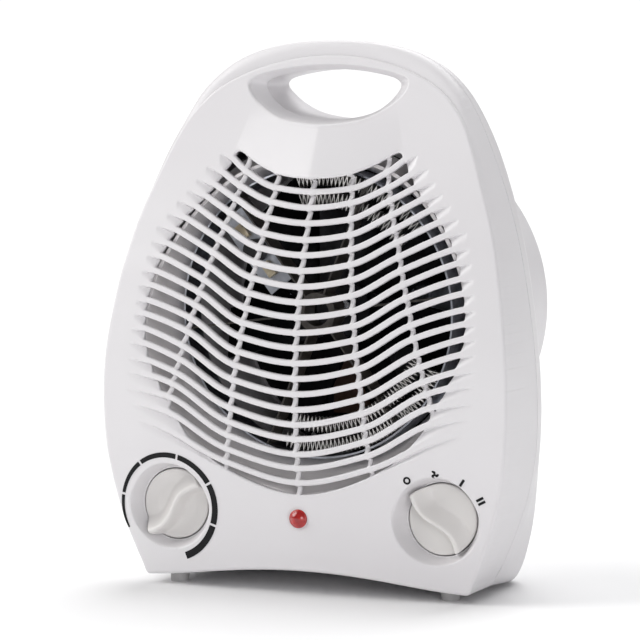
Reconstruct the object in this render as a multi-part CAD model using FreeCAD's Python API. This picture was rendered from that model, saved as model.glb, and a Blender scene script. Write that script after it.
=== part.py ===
import FreeCAD, Part
import math
import os

os.makedirs("parts", exist_ok=True)

# Fan convector heater, millimetres.
# Working frame: X to the right seen from the front, Z up from the floor, V = depth measured backwards (+Y).
# Every shape is built with V as Y and moved forward by Y_SHIFT when written, so that the finished part stands
# centred on its own bounding box with its front towards -Y.

Y_SHIFT = -27.05

# ---- driving dimensions -------------------------------------------------------------------------------------
WALL = 2.4                 # casing wall
HEIGHT = 245.0             # floor to top of the handle
AXIS_Z = 124.0             # height of the fan axis
DRUM_R = 79.0              # outside radius of the fan drum
DRUM_WALL = 2.4
DRUM_RIM = 4.0              # rounding of the drum's rear rim
DRUM_BACK = 84.0           # rear face of the drum
PART_LOW = 11.5            # depth of the parting plane below the handle
PART_TOP = 18.0            # depth of the parting line at the top of the handle
BODY_BACK = 56.0           # rear wall of the body around the drum
KNOB_X = 64.6              # knob centres
KNOB_Z = 36.3
KNOB_R = 16.4              # knob disc
KNOB_FACE = -14.4          # front of the knob disc
KNOB_DISC_T = 5.0
GRIP_RISE = 7.6            # finger grip above the disc
DISH_RIM_R = 20.4
DISH_R = 17.2
DISH_FLOOR = -8.4
SPINDLE_R = 3.0
LAMP_Z = 34.2
LENS_R = 4.2
BAR_W = 2.7                # grille bar, across
RIB_W = 2.2                # grille rib, across
GRILLE_T = 3.4             # grille bars, front to back
DUCT_R = 66.0              # rear mouth of the outlet duct
DUCT_WALL = 1.6
DUCT_BACK = 10.6
SHAFT_R = 2.0
FAN_R = 62.0
FAN_FRONT = 24.0
FAN_BACK = 40.0


def V(x, y, z):
    return FreeCAD.Vector(x, y, z)


def lerp(tab, t):
    """Piecewise linear reading of a table of (t, value...)."""
    if t <= tab[0][0]:
        return tab[0][1]
    for (a, va), (b, vb) in zip(tab, tab[1:]):
        if t <= b:
            return va + (vb - va) * (t - a) / (b - a)
    return tab[-1][1]


# ---- face surface -------------------------------------------------------------------------------------------
# Depth of the face along the middle line, by height.
CENTRE = [(-15, -22.3), (4, -23.0), (20, -23.8), (34, -24.2), (44, -24.5), (50.3, -25.6), (56.9, -27.0), (63.2, -28.3), (70, -29.2),
          (76.4, -29.7), (83, -29.9), (97, -29.9), (103.5, -29.7), (110, -29.1), (116.8, -28.0), (123.5, -26.9), (130, -25.5),
          (136.8, -24.2), (143.7, -22.6), (150.4, -20.1), (157.1, -17.9), (164.3, -15.5), (171, -12.7), (178, -9.9), (190, -4.9),
          (207.8, 1.9), (234, 11.0), (246, 15.2), (262, 20.8)]
# How far the edge of the face falls back behind the middle line, by height, and the half width it is measured at.
SAG = [(-15, 5.2), (4, 4.9), (15, 4.6), (30, 3.4), (45, 3.3), (60, 4.9), (75, 6.4), (90, 6.5), (105, 7.0), (120, 7.0), (135, 6.8),
       (150, 6.1), (165, 4.3), (180, 2.2), (195, 0.8), (210, 0.3), (262, 0.2)]
EDGE = [(4.5, 77.8), (15, 82.9), (30, 88.7), (45, 93.2), (60, 95.8), (75, 97.1), (90, 97.3), (105, 96.5), (120, 94.7), (135, 92.3),
        (150, 89.2), (165, 85.2), (180, 80.0), (195, 74.8), (207.7, 68.8), (214, 64.1), (221.4, 56.8), (226, 50.2), (230, 42.2),
        (233, 34.5), (236.3, 24.3), (238.5, 0)]


def face_depth(x, z):
    c = lerp(CENTRE, z)
    s = lerp(SAG, z)
    xe = max(60.0, lerp(EDGE, z))
    k = lambda v: (v * v + 64.0) ** 0.75 - 64.0 ** 0.75
    return c + s * k(abs(x)) / k(xe)


def smooth_face_depth(x, z):
    n, tot = 0, 0.0
    for dz in (-6, -4, -2, 0, 2, 4, 6):
        w = 1.0 - abs(dz) / 8.0
        tot += w * face_depth(x, z + dz)
        n += w
    return tot / n


def face_sheet(offset=0.0):
    xs = [-118 + 236.0 * i / 20 for i in range(21)]
    zs = [-14 + 274.0 * j / 34 for j in range(35)]
    grid = [[V(x, smooth_face_depth(x, z) + offset, z) for z in zs] for x in xs]
    s = Part.BSplineSurface()
    s.interpolate(grid)
    return s.toShape()


def front_air(offset=0.0):
    """Everything in front of the face, or in front of the face moved back by offset."""
    return face_sheet(offset).extrude(V(0, -80, 0))


# ---- outlines -----------------------------------------------------------------------------------------------
# Half outline of the body at the parting plane, from the bottom middle round to the top middle.
OUTLINE = [(72.0, 1.6), (76.2, 2.4), (79.6, 6.0), (84.8, 16.0), (90.8, 31.0), (95.4, 46.0), (98.0, 60.0), (99.0, 75.0), (98.8, 90.0),
           (97.9, 104.0), (96.2, 120.0), (93.9, 136.0), (91.0, 152.0), (87.4, 167.0), (82.8, 182.0), (77.2, 197.0), (72.4, 207.0),
           (66.4, 217.0), (58.6, 226.0), (49.0, 233.2), (37.0, 238.2), (24.0, 241.0), (12.0, 242.2), (0.0, 242.5)]


def offset_half(pts, d):
    """Moves a half outline inwards by d, square to itself."""
    out = []
    n = len(pts)
    for i, (x, z) in enumerate(pts):
        x0, z0 = pts[max(0, i - 1)]
        x1, z1 = pts[min(n - 1, i + 1)]
        tx, tz = x1 - x0, z1 - z0
        if i == n - 1:
            tx, tz = -1.0, 0.0
        if i == 0:
            tx, tz = 1.0, 0.0
        L = math.hypot(tx, tz)
        out.append((x - tz / L * d, z + tx / L * d if tx > 0 else z + tx / L * d))
    out[-1] = (0.0, out[-1][1])
    return out


def station(pts, y, arch):
    """Closed wire of a half outline at depth y: an arched bottom edge and one curve over the top."""
    right = [V(x, y, z) for x, z in pts]
    left = [V(-x, y, z) for x, z in reversed(pts[:-1])]
    curve = Part.BSplineCurve()
    curve.interpolate(right + left)
    x0, z0 = pts[0]
    foot = Part.BSplineCurve()
    foot.interpolate([V(x * x0, y, z0 + arch * (1 - x * x) ** 1.5) for x in (-1, -0.75, -0.5, -0.25, 0, 0.25, 0.5, 0.75, 1)])
    return Part.Wire([foot.toShape(), curve.toShape()])


def scaled(pts, top, side, low, foot):
    """The outline squeezed: top height, side width factor (upper half), low width factor, and foot height."""
    zt = pts[-1][1]
    zb = pts[0][1]
    out = []
    for x, z in pts:
        f = (z - zb) / (zt - zb)
        w = low + (side - low) * min(1.0, f * 4.6)
        out.append((x * w, foot + (top - foot) * f))
    return out


# Stations of the outside from front to back: depth, height of the top, width factors at mid height and at the foot,
# height of the foot line, and how far the foot line arches up in the middle.
STATIONS = [(-34.0, 232.0, 0.975, 0.972, 4.7, 7.0), (PART_LOW, 242.5, 1.0, 1.0, 3.2, 5.0), (PART_TOP, 245.0, 0.992, 1.006, 2.8, 4.0),
            (25.0, 244.0, 0.970, 1.010, 2.4, 2.6), (32.0, 240.0, 0.944, 1.016, 2.0, 1.4), (40.0, 229.0, 0.914, 1.016, 1.6, 0.4),
            (47.0, 216.0, 0.885, 0.99, 1.6, 0.2), (52.5, 206.0, 0.853, 0.955, 1.8, 0.2), (BODY_BACK, 197.0, 0.815, 0.915, 4.0, 0.2)]


def body_solid(inset):
    wires = []
    for i, (y, top, side, low, foot, arch) in enumerate(STATIONS):
        pts = scaled(OUTLINE, top, side, low, foot)
        if inset:
            pts = offset_half(pts, inset)
        if i == len(STATIONS) - 1:
            y -= inset
        wires.append(station(pts, y, arch))
    return Part.makeLoft(wires, True, True)


def prism_yz(points, x0, x1):
    """Prism over a polygon of (y, z), between two X planes."""
    w = Part.makePolygon([V(x0, y, z) for y, z in points] + [V(x0, points[0][0], points[0][1])])
    return Part.Face(w).extrude(V(x1 - x0, 0, 0))


def prism_xz(points, y0, y1):
    w = Part.makePolygon([V(x, y0, z) for x, z in points] + [V(points[0][0], y0, points[0][1])])
    return Part.Face(w).extrude(V(0, y1 - y0, 0))


def cyl(r, y0, y1, x=0.0, z=0.0):
    return Part.makeCylinder(r, y1 - y0, V(x, y0, z), V(0, 1, 0))


def tube(ro, ri, y0, y1, x=0.0, z=0.0):
    return cyl(ro, y0, y1, x, z).cut(cyl(ri, y0 - 1, y1 + 1, x, z))


def box(x0, x1, y0, y1, z0, z1):
    return Part.makeBox(x1 - x0, y1 - y0, z1 - z0, V(x0, y0, z0))


def front_of_parting(lip=0.0):
    return prism_yz([(-90, -20), (PART_LOW + lip, -20), (PART_LOW + lip, 196), (PART_TOP + lip, 244), (PART_TOP + lip, 262), (-90, 262)], -130, 130)


PARTS = {}


def keep(name, *solids):
    shapes = []
    for s in solids:
        shapes.extend(s.Solids if s.ShapeType != "Solid" else [s])
    PARTS[name] = shapes


def write(name):
    shapes = [s.copy() for s in PARTS[name]]
    for s in shapes:
        s.translate(V(0, Y_SHIFT, 0))
    shape = shapes[0] if len(shapes) == 1 else Part.makeCompound(shapes)
    shape.exportStep("parts/%s.step" % name)



# ---- grille layout ------------------------------------------------------------------------------------------
# Heights of the twenty bars on the middle line, from the top down.
BAR_MID = [178.0, 171.0, 164.3, 157.1, 150.4, 143.7, 136.8, 130.0, 123.5, 116.8, 110.1, 103.5, 96.7, 89.9, 83.1, 76.4, 70.0, 63.2, 56.9, 50.3]
# Where each bar crosses the inner rib, the outer rib, and where it fades into the face.
BAR_IN = [(18.3, 179.7), (19.1, 173.4), (20.0, 166.4), (21.0, 159.7), (22.0, 153.3), (22.8, 146.8), (23.7, 140.1), (24.8, 133.5),
          (25.6, 126.9), (26.5, 120.4), (27.4, 114.3), (28.2, 107.7), (29.3, 101.7), (30.2, 95.2), (30.9, 88.9), (31.7, 82.6),
          (32.4, 76.3), (33.1, 70.3), (34.0, 64.1), (35.0, 58.2)]
BAR_OUT = [(34.0, 186.8), (35.7, 180.2), (37.4, 174.7), (39.0, 168.4), (40.9, 162.3), (42.9, 156.7), (44.6, 150.6), (46.3, 144.7),
           (47.9, 138.7), (49.6, 133.0), (51.2, 127.4), (52.8, 121.4), (54.3, 115.7), (56.1, 109.2), (57.8, 103.4), (59.5, 97.3),
           (61.1, 92.1), (62.9, 86.2), (64.2, 79.6), (64.6, 71.9)]
BAR_END = [(46.9, 195.9), (52.9, 190.0), (57.0, 184.2), (61.0, 179.2), (65.2, 174.6), (69.5, 168.8), (73.4, 163.0), (75.8, 156.2),
           (77.4, 150.0), (79.0, 143.2), (80.0, 136.7), (81.0, 129.7), (81.6, 123.6), (82.3, 117.5), (82.7, 111.1), (83.3, 104.2),
           (84.1, 97.8), (84.6, 90.3), (81.8, 83.6), (78.9, 76.6)]
# Edge of the grille opening, half outline from the bottom middle round to the visor.
OPENING = [(0.0, 44.6), (12.0, 46.2), (24.0, 50.0), (36.4, 55.4), (45.0, 60.6), (52.0, 66.6), (58.0, 74.0), (62.6, 81.0), (66.2, 87.4),
           (69.8, 94.0), (72.8, 100.0), (75.4, 107.0), (76.8, 114.0), (77.1, 121.0), (76.4, 129.0), (75.0, 136.4), (73.2, 143.6),
           (71.2, 149.6), (68.2, 155.8), (63.2, 163.4), (58.4, 169.2), (53.4, 174.2), (48.6, 180.0), (44.6, 186.4), (41.4, 192.0),
           (39.0, 196.6), (29.0, 190.0), (17.4, 185.4), (8.0, 184.0), (0.0, 183.8)]
HANDLE_HOLE = [(0.0, 209.6), (10.0, 210.2), (20.0, 212.4), (27.0, 216.6), (31.6, 221.6), (33.4, 225.2), (31.0, 227.8), (26.0, 229.4),
               (14.0, 231.6), (0.0, 232.4)]


def softened(half, times):
    """Rounds the corners of a half outline, keeping its two ends on the middle line."""
    for _ in range(times):
        out = [half[0]]
        for (xa, za), (xb, zb) in zip(half, half[1:]):
            out.append((0.75 * xa + 0.25 * xb, 0.75 * za + 0.25 * zb))
            out.append((0.25 * xa + 0.75 * xb, 0.25 * za + 0.75 * zb))
        half = out + [half[-1]]
    return half


HANDLE_HOLE = softened(HANDLE_HOLE, 2)


def pchip(pts, x):
    """Monotone cubic through pts."""
    n = len(pts)
    h = [pts[i + 1][0] - pts[i][0] for i in range(n - 1)]
    m = [(pts[i + 1][1] - pts[i][1]) / h[i] for i in range(n - 1)]
    d = [0.0] * n
    for i in range(1, n - 1):
        if m[i - 1] * m[i] > 0:
            w1, w2 = 2 * h[i] + h[i - 1], h[i] + 2 * h[i - 1]
            d[i] = (w1 + w2) / (w1 / m[i - 1] + w2 / m[i])
    d[-1] = m[-1] * 0.6
    i = 0
    while i < n - 2 and x > pts[i + 1][0]:
        i += 1
    t = (x - pts[i][0]) / h[i]
    if t > 1:
        return pts[-1][1] + d[-1] * (x - pts[-1][0])
    a, b = pts[i][1], pts[i + 1][1]
    return (a * (1 + 2 * t) * (1 - t) ** 2 + d[i] * h[i] * t * (1 - t) ** 2 + b * t * t * (3 - 2 * t) - d[i + 1] * h[i] * t * t * (1 - t))


def bar_height(k, x):
    return pchip([(0.0, BAR_MID[k]), BAR_IN[k], BAR_OUT[k], BAR_END[k]], abs(x))


def mirrored(half):
    left = [(-x, z) for x, z in reversed(half) if x > 1e-6]
    return half + left


def flat(points, y):
    w = Part.makePolygon([V(x, y, z) for x, z in points] + [V(points[0][0], y, points[0][1])])
    return Part.Face(w)


def bar_face(k, y):
    xs = [i * 4.0 for i in range(-22, 23)]
    up = [(x, bar_height(k, x) + BAR_W * 0.5) for x in xs]
    dn = [(x, bar_height(k, x) - BAR_W * 0.5) for x in reversed(xs)]
    return flat(up + dn, y)


def rib_faces(y):
    out = [flat([(-RIB_W / 2, 30), (RIB_W / 2, 30), (RIB_W / 2, 200), (-RIB_W / 2, 200)], y)]
    inner = [(16.9, 196.0)] + BAR_IN + [(36.6, 40.0)]
    outer = [(33.4, 199.0)] + BAR_OUT[:18] + [(64.0, 81.0)]
    for line in (inner, outer):
        for s in (-1, 1):
            a = [(s * x - RIB_W / 2, z) for x, z in line]
            b = [(s * x + RIB_W / 2, z) for x, z in reversed(line)]
            out.append(flat(a + b, y))
    return out


def grille_cells(y):
    """The gaps of the grille, as flat faces at depth y."""
    opening = flat(mirrored(OPENING), y)
    cut = opening.cut([bar_face(k, y) for k in range(20)] + rib_faces(y))
    return [f for f in cut.Faces if f.Area > 1.5]


# ---- casings ------------------------------------------------------------------------------------------------
outer = body_solid(0.0)
inner = body_solid(WALL)
ahead = front_air()
ahead_in = front_air(WALL)
ahead_bar = front_air(GRILLE_T)
front_half = front_of_parting()

hole = prism_xz(mirrored(HANDLE_HOLE), -60, 90)
hole_wall = prism_xz(mirrored(offset_half(HANDLE_HOLE, -WALL)), -60, 90)

front_outer = outer.common(front_half).cut(ahead)
front_inner = inner.common(front_half).cut(ahead_in)

BOSSES = [(80.0, 60.0), (-80.0, 60.0), (60.0, 196.0), (-60.0, 196.0)]
CLAMP_POSTS = [(-67.0, 22.0), (-45.0, 22.0)]
MOTOR_POSTS = [(40.0, AXIS_Z), (-40.0, AXIS_Z)]
LUG_ANGLES = (35.0, 145.0, 215.0, 325.0)
LUG_R = 72.4


def at(r, deg):
    return r * math.cos(math.radians(deg)), AXIS_Z + r * math.sin(math.radians(deg))


# Front casing: skin, handle tunnel, grille slab, knob dishes and screw posts.
front = front_outer.cut(front_inner)
posts = [cyl(4.0, -60, 10.0, x, z) for x, z in BOSSES]
cups = [cyl(DISH_RIM_R + 2.0, -60, DISH_FLOOR + 2.4, s * KNOB_X, KNOB_Z) for s in (-1, 1)]
slab = front_outer.common(ahead_bar).common(prism_xz(mirrored(offset_half(OPENING, -1.6)), -60, 40))
tunnel = front_outer.common(hole_wall)
front = front.fuse([slab, tunnel] + [front_outer.common(c) for c in cups + posts])
cells = [f.extrude(V(0, 100, 0)) for f in grille_cells(-60)]
tools = list(cells)
tools.append(hole)
for s in (-1, 1):
    cone = Part.makeCone(DISH_RIM_R + 1.8, DISH_R, 12.0, V(s * KNOB_X, -26.5, KNOB_Z), V(0, 1, 0))
    tools.append(cone.fuse(cyl(DISH_R, -15.0, DISH_FLOOR, s * KNOB_X, KNOB_Z)))
    tools.append(cyl(5.2, DISH_FLOOR - 1, DISH_FLOOR + 4, s * KNOB_X, KNOB_Z))
    for dx in (-9.0, 9.0):
        tools.append(cyl(2.7, DISH_FLOOR - 0.5, DISH_FLOOR + 1.0, s * KNOB_X + dx, KNOB_Z))
        tools.append(cyl(1.5, DISH_FLOOR - 0.5, DISH_FLOOR + 3.0, s * KNOB_X + dx, KNOB_Z))
tools.append(cyl(3.2, -40, -10, 0, LAMP_Z))
for x, z in BOSSES:
    tools.append(cyl(1.6, -4.0 if z < 100 else 3.0, 12.0, x, z))
front = front.cut(tools)
keep("front_casing", front)
print("front", len(PARTS["front_casing"]), front.isValid(), round(front.Volume))

# Rear casing: skin behind the parting, drum, intake grille, posts.
rear_half_outer = outer.cut(front_half)
rear_inner = inner.cut(front_half)
drum = cyl(DRUM_R, DUCT_BACK, DRUM_BACK, 0, AXIS_Z)
drum = drum.makeFillet(DRUM_RIM, [e for e in drum.Edges if abs(e.BoundBox.YMin - DRUM_BACK) < 0.01 and abs(e.BoundBox.YMax - DRUM_BACK) < 0.01])
rear = rear_half_outer.cut(rear_inner)
rear = rear.fuse([drum, rear_half_outer.common(hole_wall)] + [rear_half_outer.common(cyl(5.2, 10.0, 80, x, z)).fuse(cyl(4.4, 10.0, 19.0, x, z)) for x, z in BOSSES]
                 + [cyl(3.2, 47.0, 54.5, x, z) for x, z in CLAMP_POSTS])
rear = rear.cut([cyl(DRUM_R - DRUM_WALL, 0, DRUM_BACK - DRUM_WALL, 0, AXIS_Z), hole])
lugs = []
for a in LUG_ANGLES:
    x, z = at(LUG_R, a)
    ux, uz = math.cos(math.radians(a)), math.sin(math.radians(a))
    lugs.append(cyl(3.8, 11.4, 24.0, x, z).fuse(cyl(3.4, 11.4, 24.0, x + ux * 3.0, z + uz * 3.0)))
rear = rear.fuse(lugs + [cyl(4.2, 71.6, DRUM_BACK - 1.0, x, z) for x, z in MOTOR_POSTS])
slots = []
for i in range(10):
    r0 = 14.0 + i * 6.0
    slots.append(tube(r0 + 3.4, r0, DRUM_BACK - DRUM_WALL - 1, DRUM_BACK + 1, 0, AXIS_Z))
keepers = [box(-80, 80, DRUM_BACK - 6, DRUM_BACK + 3, -1.6, 1.6) for _ in range(4)]
for i, k in enumerate(keepers):
    k.rotate(V(0, 0, 0), V(0, 1, 0), 45.0 * i + 22.5)
    k.translate(V(0, 0, AXIS_Z))
keepers += [cyl(7.0, DRUM_BACK - 6, DRUM_BACK + 3, x, z) for x, z in MOTOR_POSTS]
slot_tools = []
for t in slots:
    slot_tools.extend(t.cut(keepers).Solids)
tools = slot_tools
for x, z in BOSSES:
    tools.append(cyl(1.9, 9.0, 30.0, x, z))
    tools.append(cyl(3.6, 20.0, 90.0, x, z))
for x, z in CLAMP_POSTS:
    tools.append(cyl(1.2, 40.0, 53.0, x, z))
for x, z in MOTOR_POSTS:
    tools.append(cyl(1.4, 60.0, 80.0, x, z))
for a in LUG_ANGLES:
    x, z = at(LUG_R, a)
    tools.append(cyl(1.2, 5.0, 21.0, x, z))
inlet = cyl(6.3, 50, 60, -56, 22).common(box(-64, -48, 49, 61, 16.9, 27.1))
tools.append(inlet)
rear = rear.cut(tools)
keep("rear_casing", rear)
print("rear", len(PARTS["rear_casing"]), rear.isValid(), round(rear.Volume))

# ---- feet ---------------------------------------------------------------------------------------------------
# Front feet: short pegs under the arched foot of the front casing; rear pads under the flat foot of the rear casing.
below = outer.common(box(-90, 90, -14, 4, -2, 20))
feet = []
for s in (-1, 1):
    peg = Part.makeCone(4.0, 4.8, 9.0, V(s * 66.0, -8.0, 0.0), V(0, 0, 1))
    feet.append(peg.cut(outer))
keep("front_feet", *[max(f.Solids, key=lambda q: q.BoundBox.ZLength if q.BoundBox.ZMin < 0.1 else 0) for f in feet])
pads = []
for s in (-1, 1):
    pad = Part.makeCylinder(6.0, 6.0, V(s * 62.0, 40.0, 0.0), V(0, 0, 1)).cut(outer)
    pads.append(max(pad.Solids, key=lambda q: 1 if q.BoundBox.ZMin < 0.1 else 0))
keep("rear_feet", *pads)

# ---- outlet duct --------------------------------------------------------------------------------------------
DUCT_FRONT = [(0.0, 42.0), (24.0, 47.4), (38.0, 53.2), (48.0, 59.6), (56.0, 67.2), (62.4, 75.0), (68.0, 84.0), (73.0, 93.0), (77.2, 102.0),
              (79.4, 112.0), (79.8, 122.0), (78.8, 132.0), (76.4, 142.0), (72.4, 152.0), (67.0, 162.0), (60.4, 172.0), (53.0, 182.0),
              (45.0, 191.0), (35.0, 196.4), (22.0, 198.6), (0.0, 199.4)]


def polar(half, n, grow):
    """Closed loop of n points around (0, 122), read off a half outline by angle."""
    loop = mirrored(half)
    out = []
    for i in range(n):
        a = 2 * math.pi * i / n - math.pi / 2
        dx, dz = math.cos(a), math.sin(a)
        best = 0.0
        for (x0, z0), (x1, z1) in zip(loop, loop[1:] + loop[:1]):
            ex, ez = x1 - x0, z1 - z0
            det = dx * ez - dz * ex
            if abs(det) < 1e-9:
                continue
            t = (x0 * ez - (z0 - 122.0) * ex) / det
            q = (x0 * dz - (z0 - 122.0) * dx) / det
            if -1e-9 <= q <= 1 + 1e-9 and t > best:
                best = t
        out.append((dx * (best + grow), 122.0 + dz * (best + grow)))
    return out


def loop_wire(points, y):
    c = Part.BSplineCurve()
    c.interpolate([V(x, y, z) for x, z in points], True)
    return Part.Wire([c.toShape()])


def duct_solid(grow, y0, y1, flare):
    mouth = []
    for i in range(48):
        a = 2 * math.pi * i / 48 - math.pi / 2
        mouth.append(((DUCT_R + grow - flare) * math.cos(a), AXIS_Z + (DUCT_R + grow - flare) * math.sin(a)))
    return Part.makeLoft([loop_wire(polar(DUCT_FRONT, 48, grow + flare), y0), loop_wire(mouth, y1)], True, True)


duct = duct_solid(DUCT_WALL, -26.0, DUCT_BACK, 0.0).cut(duct_solid(0.0, -28.0, DUCT_BACK + 1.5, 0.5))
flange = tube(76.2, DUCT_R + 1.0, 9.0, DUCT_BACK, 0, AXIS_Z)
duct = duct.fuse(flange).cut([front_air(GRILLE_T + 0.4)] + [cyl(1.4, 0, 12, *at(LUG_R, a)) for a in LUG_ANGLES])
keep("outlet_duct", duct)
print("duct", len(PARTS["outlet_duct"]), duct.isValid(), round(duct.Volume))
keep("duct_screws", *[cyl(2.4, 7.4, 9.0, *at(LUG_R, a)).fuse(cyl(1.2, 9.0, 20.0, *at(LUG_R, a))) for a in LUG_ANGLES])

# ---- heater -------------------------------------------------------------------------------------------------
RING_RO, RING_RI = 65.2, 64.4
ring = tube(RING_RO, RING_RI, -4.6, 11.4, 0, AXIS_Z)
tabs = []
for a in LUG_ANGLES:
    t = box(RING_RI + 0.2, 75.6, DUCT_BACK, 11.4, -4.5, 4.5)
    t.rotate(V(0, 0, 0), V(0, 1, 0), -a)
    t.translate(V(0, 0, AXIS_Z))
    tabs.append(t)
ring = ring.fuse(tabs).cut([front_air(GRILLE_T + 0.8)] + [cyl(1.4, 0, 14, *at(LUG_R, a)) for a in LUG_ANGLES])
keep("heater_frame", ring)

ROWS = {"outer": (56.4, 63.6), "inner": (47.0, 54.2)}
ARCS = {"upper": (38.0, 101.0), "lower": (-106.0, -24.0)}


def sector(r0, r1, a0, a1, y0, y1):
    """Annular sector about the fan axis, between two depths."""
    n = max(2, int((a1 - a0) / 6))
    ring_pts = [(r1, a0 + (a1 - a0) * i / n) for i in range(n + 1)] + [(r0, a1 - (a1 - a0) * i / n) for i in range(n + 1)]
    return prism_xz([at(q, b) for q, b in ring_pts], y0, y1)


def ribbon(r0, r1, a0, a1, y0, y1, thick=0.4, pitch=2.0):
    """Corrugated heating ribbon lying in an annular sector: one zigzag band, thick across, y0 to y1 wide."""
    rm = 0.5 * (r0 + r1)
    step = pitch / 2
    n = int(math.radians(a1 - a0) * rm / step)
    gap = thick
    for _ in range(40):
        gap = thick * math.sqrt(1 + ((r1 - r0 - gap) / step) ** 2)
    top, low = [], []
    for i in range(n + 1):
        a = a0 + (a1 - a0) * i / n
        top.append(at(r1 if i % 2 else r0 + gap, a))
        low.append(at(r1 - gap if i % 2 else r0, a))
    return prism_xz(top + low[::-1], y0, y1)


plates = []
for a in (8.0, 68.0, 128.0):
    t = box(-RING_RI + 0.05, RING_RI - 0.05, -4.0, 8.0, -0.4, 0.4)
    t.rotate(V(0, 0, 0), V(0, 1, 0), -a)
    t.translate(V(0, 0, AXIS_Z))
    plates.append(t)
mica = plates[0].fuse(plates[1:]).fuse(tube(9.0, 6.0, -4.0, 8.0, 0, AXIS_Z))
mica = mica.cut([cyl(6.0, -10, 20, 0, AXIS_Z)] + [sector(ROWS[r][0] - 0.3, ROWS[r][1] + 0.3, ARCS[a][0] - 1.5, ARCS[a][1] + 1.5, -0.3, 4.3)
                                                 for r in ROWS for a in ARCS])
keep("mica_former", mica)
print("mica", len(PARTS["mica_former"]), mica.isValid())
keep("upper_element", *[ribbon(ROWS[r][0], ROWS[r][1], ARCS["upper"][0], ARCS["upper"][1], 0.0, 4.0) for r in ROWS])
keep("lower_element", *[ribbon(ROWS[r][0], ROWS[r][1], ARCS["lower"][0], ARCS["lower"][1], 0.0, 4.0) for r in ROWS])
print("ribbons", [len(PARTS[n]) for n in ("upper_element", "lower_element")], [q.isValid() for n in ("upper_element", "lower_element") for q in PARTS[n]])


def placed(shape, deg):
    shape.rotate(V(0, 0, 0), V(0, 1, 0), -deg)
    shape.translate(V(0, 0, AXIS_Z))
    return shape


# Thermal cut-out: a strap from the mica plate at 128 degrees carries a small snap disc switch; the fuse lies beside it.
bracket = box(20.0, 60.0, -1.0, 0.0, 0.4, 14.0)
keep("cutout_bracket", placed(bracket, 128.0))
keep("thermal_cutout", placed(cyl(5.2, -5.2, -1.0, 40.0, 7.2), 128.0))
keep("cutout_terminals", placed(box(26.0, 33.0, -3.4, -1.0, 5.2, 9.2), 128.0), placed(box(47.0, 54.0, -3.4, -1.0, 5.2, 9.2), 128.0))
fuse = Part.makeCylinder(1.9, 14.0, V(30.0, 3.0, 8.0), V(1, 0, 0))
keep("thermal_fuse", placed(fuse.cut(box(20, 60, -1.0, 0.0, 0, 20)), 128.0))
saddle = box(34.0, 40.0, 0.0, 5.4, 5.2, 10.8).cut(Part.makeCylinder(1.9, 24.0, V(26.0, 3.0, 8.0), V(1, 0, 0)))
keep("fuse_saddle", placed(saddle, 128.0))

# ---- fan ----------------------------------------------------------------------------------------------------
hub = cyl(13.0, 26.0, 38.0, 0, AXIS_Z).cut([cyl(SHAFT_R, 20, 45, 0, AXIS_Z), tube(11.4, 5.0, 30.0, 39.0, 0, AXIS_Z)])
blades = []
for i in range(7):
    b = box(-13.0, 13.0, -0.6, 0.6, 11.8, FAN_R - 1)
    b.rotate(V(0, 0, 0), V(0, 0, 1), 32.0)
    b.translate(V(0, 32.0, 0))
    b.rotate(V(0, 0, 0), V(0, 1, 0), i * 360.0 / 7)
    b.translate(V(0, 0, AXIS_Z))
    blades.append(b.common(cyl(FAN_R, 24.6, 39.4, 0, AXIS_Z)))
fan = hub.fuse(blades).cut([cyl(SHAFT_R, 20, 45, 0, AXIS_Z)])
keep("fan_impeller", fan)
print("fan", len(PARTS["fan_impeller"]), fan.isValid())
keep("fan_clip", tube(4.2, SHAFT_R, 24.6, 26.0, 0, AXIS_Z))
keep("motor_shaft", cyl(SHAFT_R, 22.6, 76.0, 0, AXIS_Z))
keep("motor_rotor", tube(14.6, SHAFT_R, 52.0, 66.0, 0, AXIS_Z))

# ---- motor --------------------------------------------------------------------------------------------------
stator = box(-26, 26, 52, 66, AXIS_Z - 44, AXIS_Z + 24).cut([cyl(15.2, 50, 70, 0, AXIS_Z), box(-15, 15, 50, 70, AXIS_Z - 33, AXIS_Z - 21)])
stator = stator.cut([cyl(1.6, 40, 80, s * 22.0, AXIS_Z) for s in (-1, 1)])
keep("motor_stator", stator)
coil = box(-12.5, 12.5, 45.0, 73.0, AXIS_Z - 50, AXIS_Z - 22.5).cut(box(-13, 13, 52, 66, AXIS_Z - 44, AXIS_Z - 33))
keep("motor_coil", coil)
cheeks = [box(s * 14.9 if s < 0 else 12.5, -12.5 if s < 0 else 14.9, 44.0, 74.0, AXIS_Z - 51, AXIS_Z - 21.5).cut(box(-16, 16, 52, 66, AXIS_Z - 44, AXIS_Z - 33)) for s in (-1, 1)]
cheeks = [c.cut(box(-30, 30, 52, 66, AXIS_Z - 22.0, AXIS_Z - 20.0)) for c in cheeks]
keep("coil_bobbin", *cheeks)
bearing_bore = SHAFT_R + 0.04
front_br = box(-26, 26, 46.6, 48.0, AXIS_Z - 10, AXIS_Z + 10).fuse([box(19, 26, 48, 52, AXIS_Z - 7, AXIS_Z + 7), box(-26, -19, 48, 52, AXIS_Z - 7, AXIS_Z + 7)])
front_br = front_br.cut([cyl(6.0, 40, 60, 0, AXIS_Z)] + [cyl(1.6, 40, 60, s * 22.0, AXIS_Z) for s in (-1, 1)])
keep("motor_front_bracket", front_br)
rear_br = box(-46, 46, 70.0, 71.6, AXIS_Z - 8, AXIS_Z + 8).fuse([box(19, 26, 66, 70, AXIS_Z - 7, AXIS_Z + 7), box(-26, -19, 66, 70, AXIS_Z - 7, AXIS_Z + 7)])
rear_br = rear_br.cut([cyl(6.0, 60, 80, 0, AXIS_Z)] + [cyl(1.6, 60, 80, s * 22.0, AXIS_Z) for s in (-1, 1)] + [cyl(1.6, 60, 80, x, z) for x, z in MOTOR_POSTS])
keep("motor_rear_bracket", rear_br)
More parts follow.
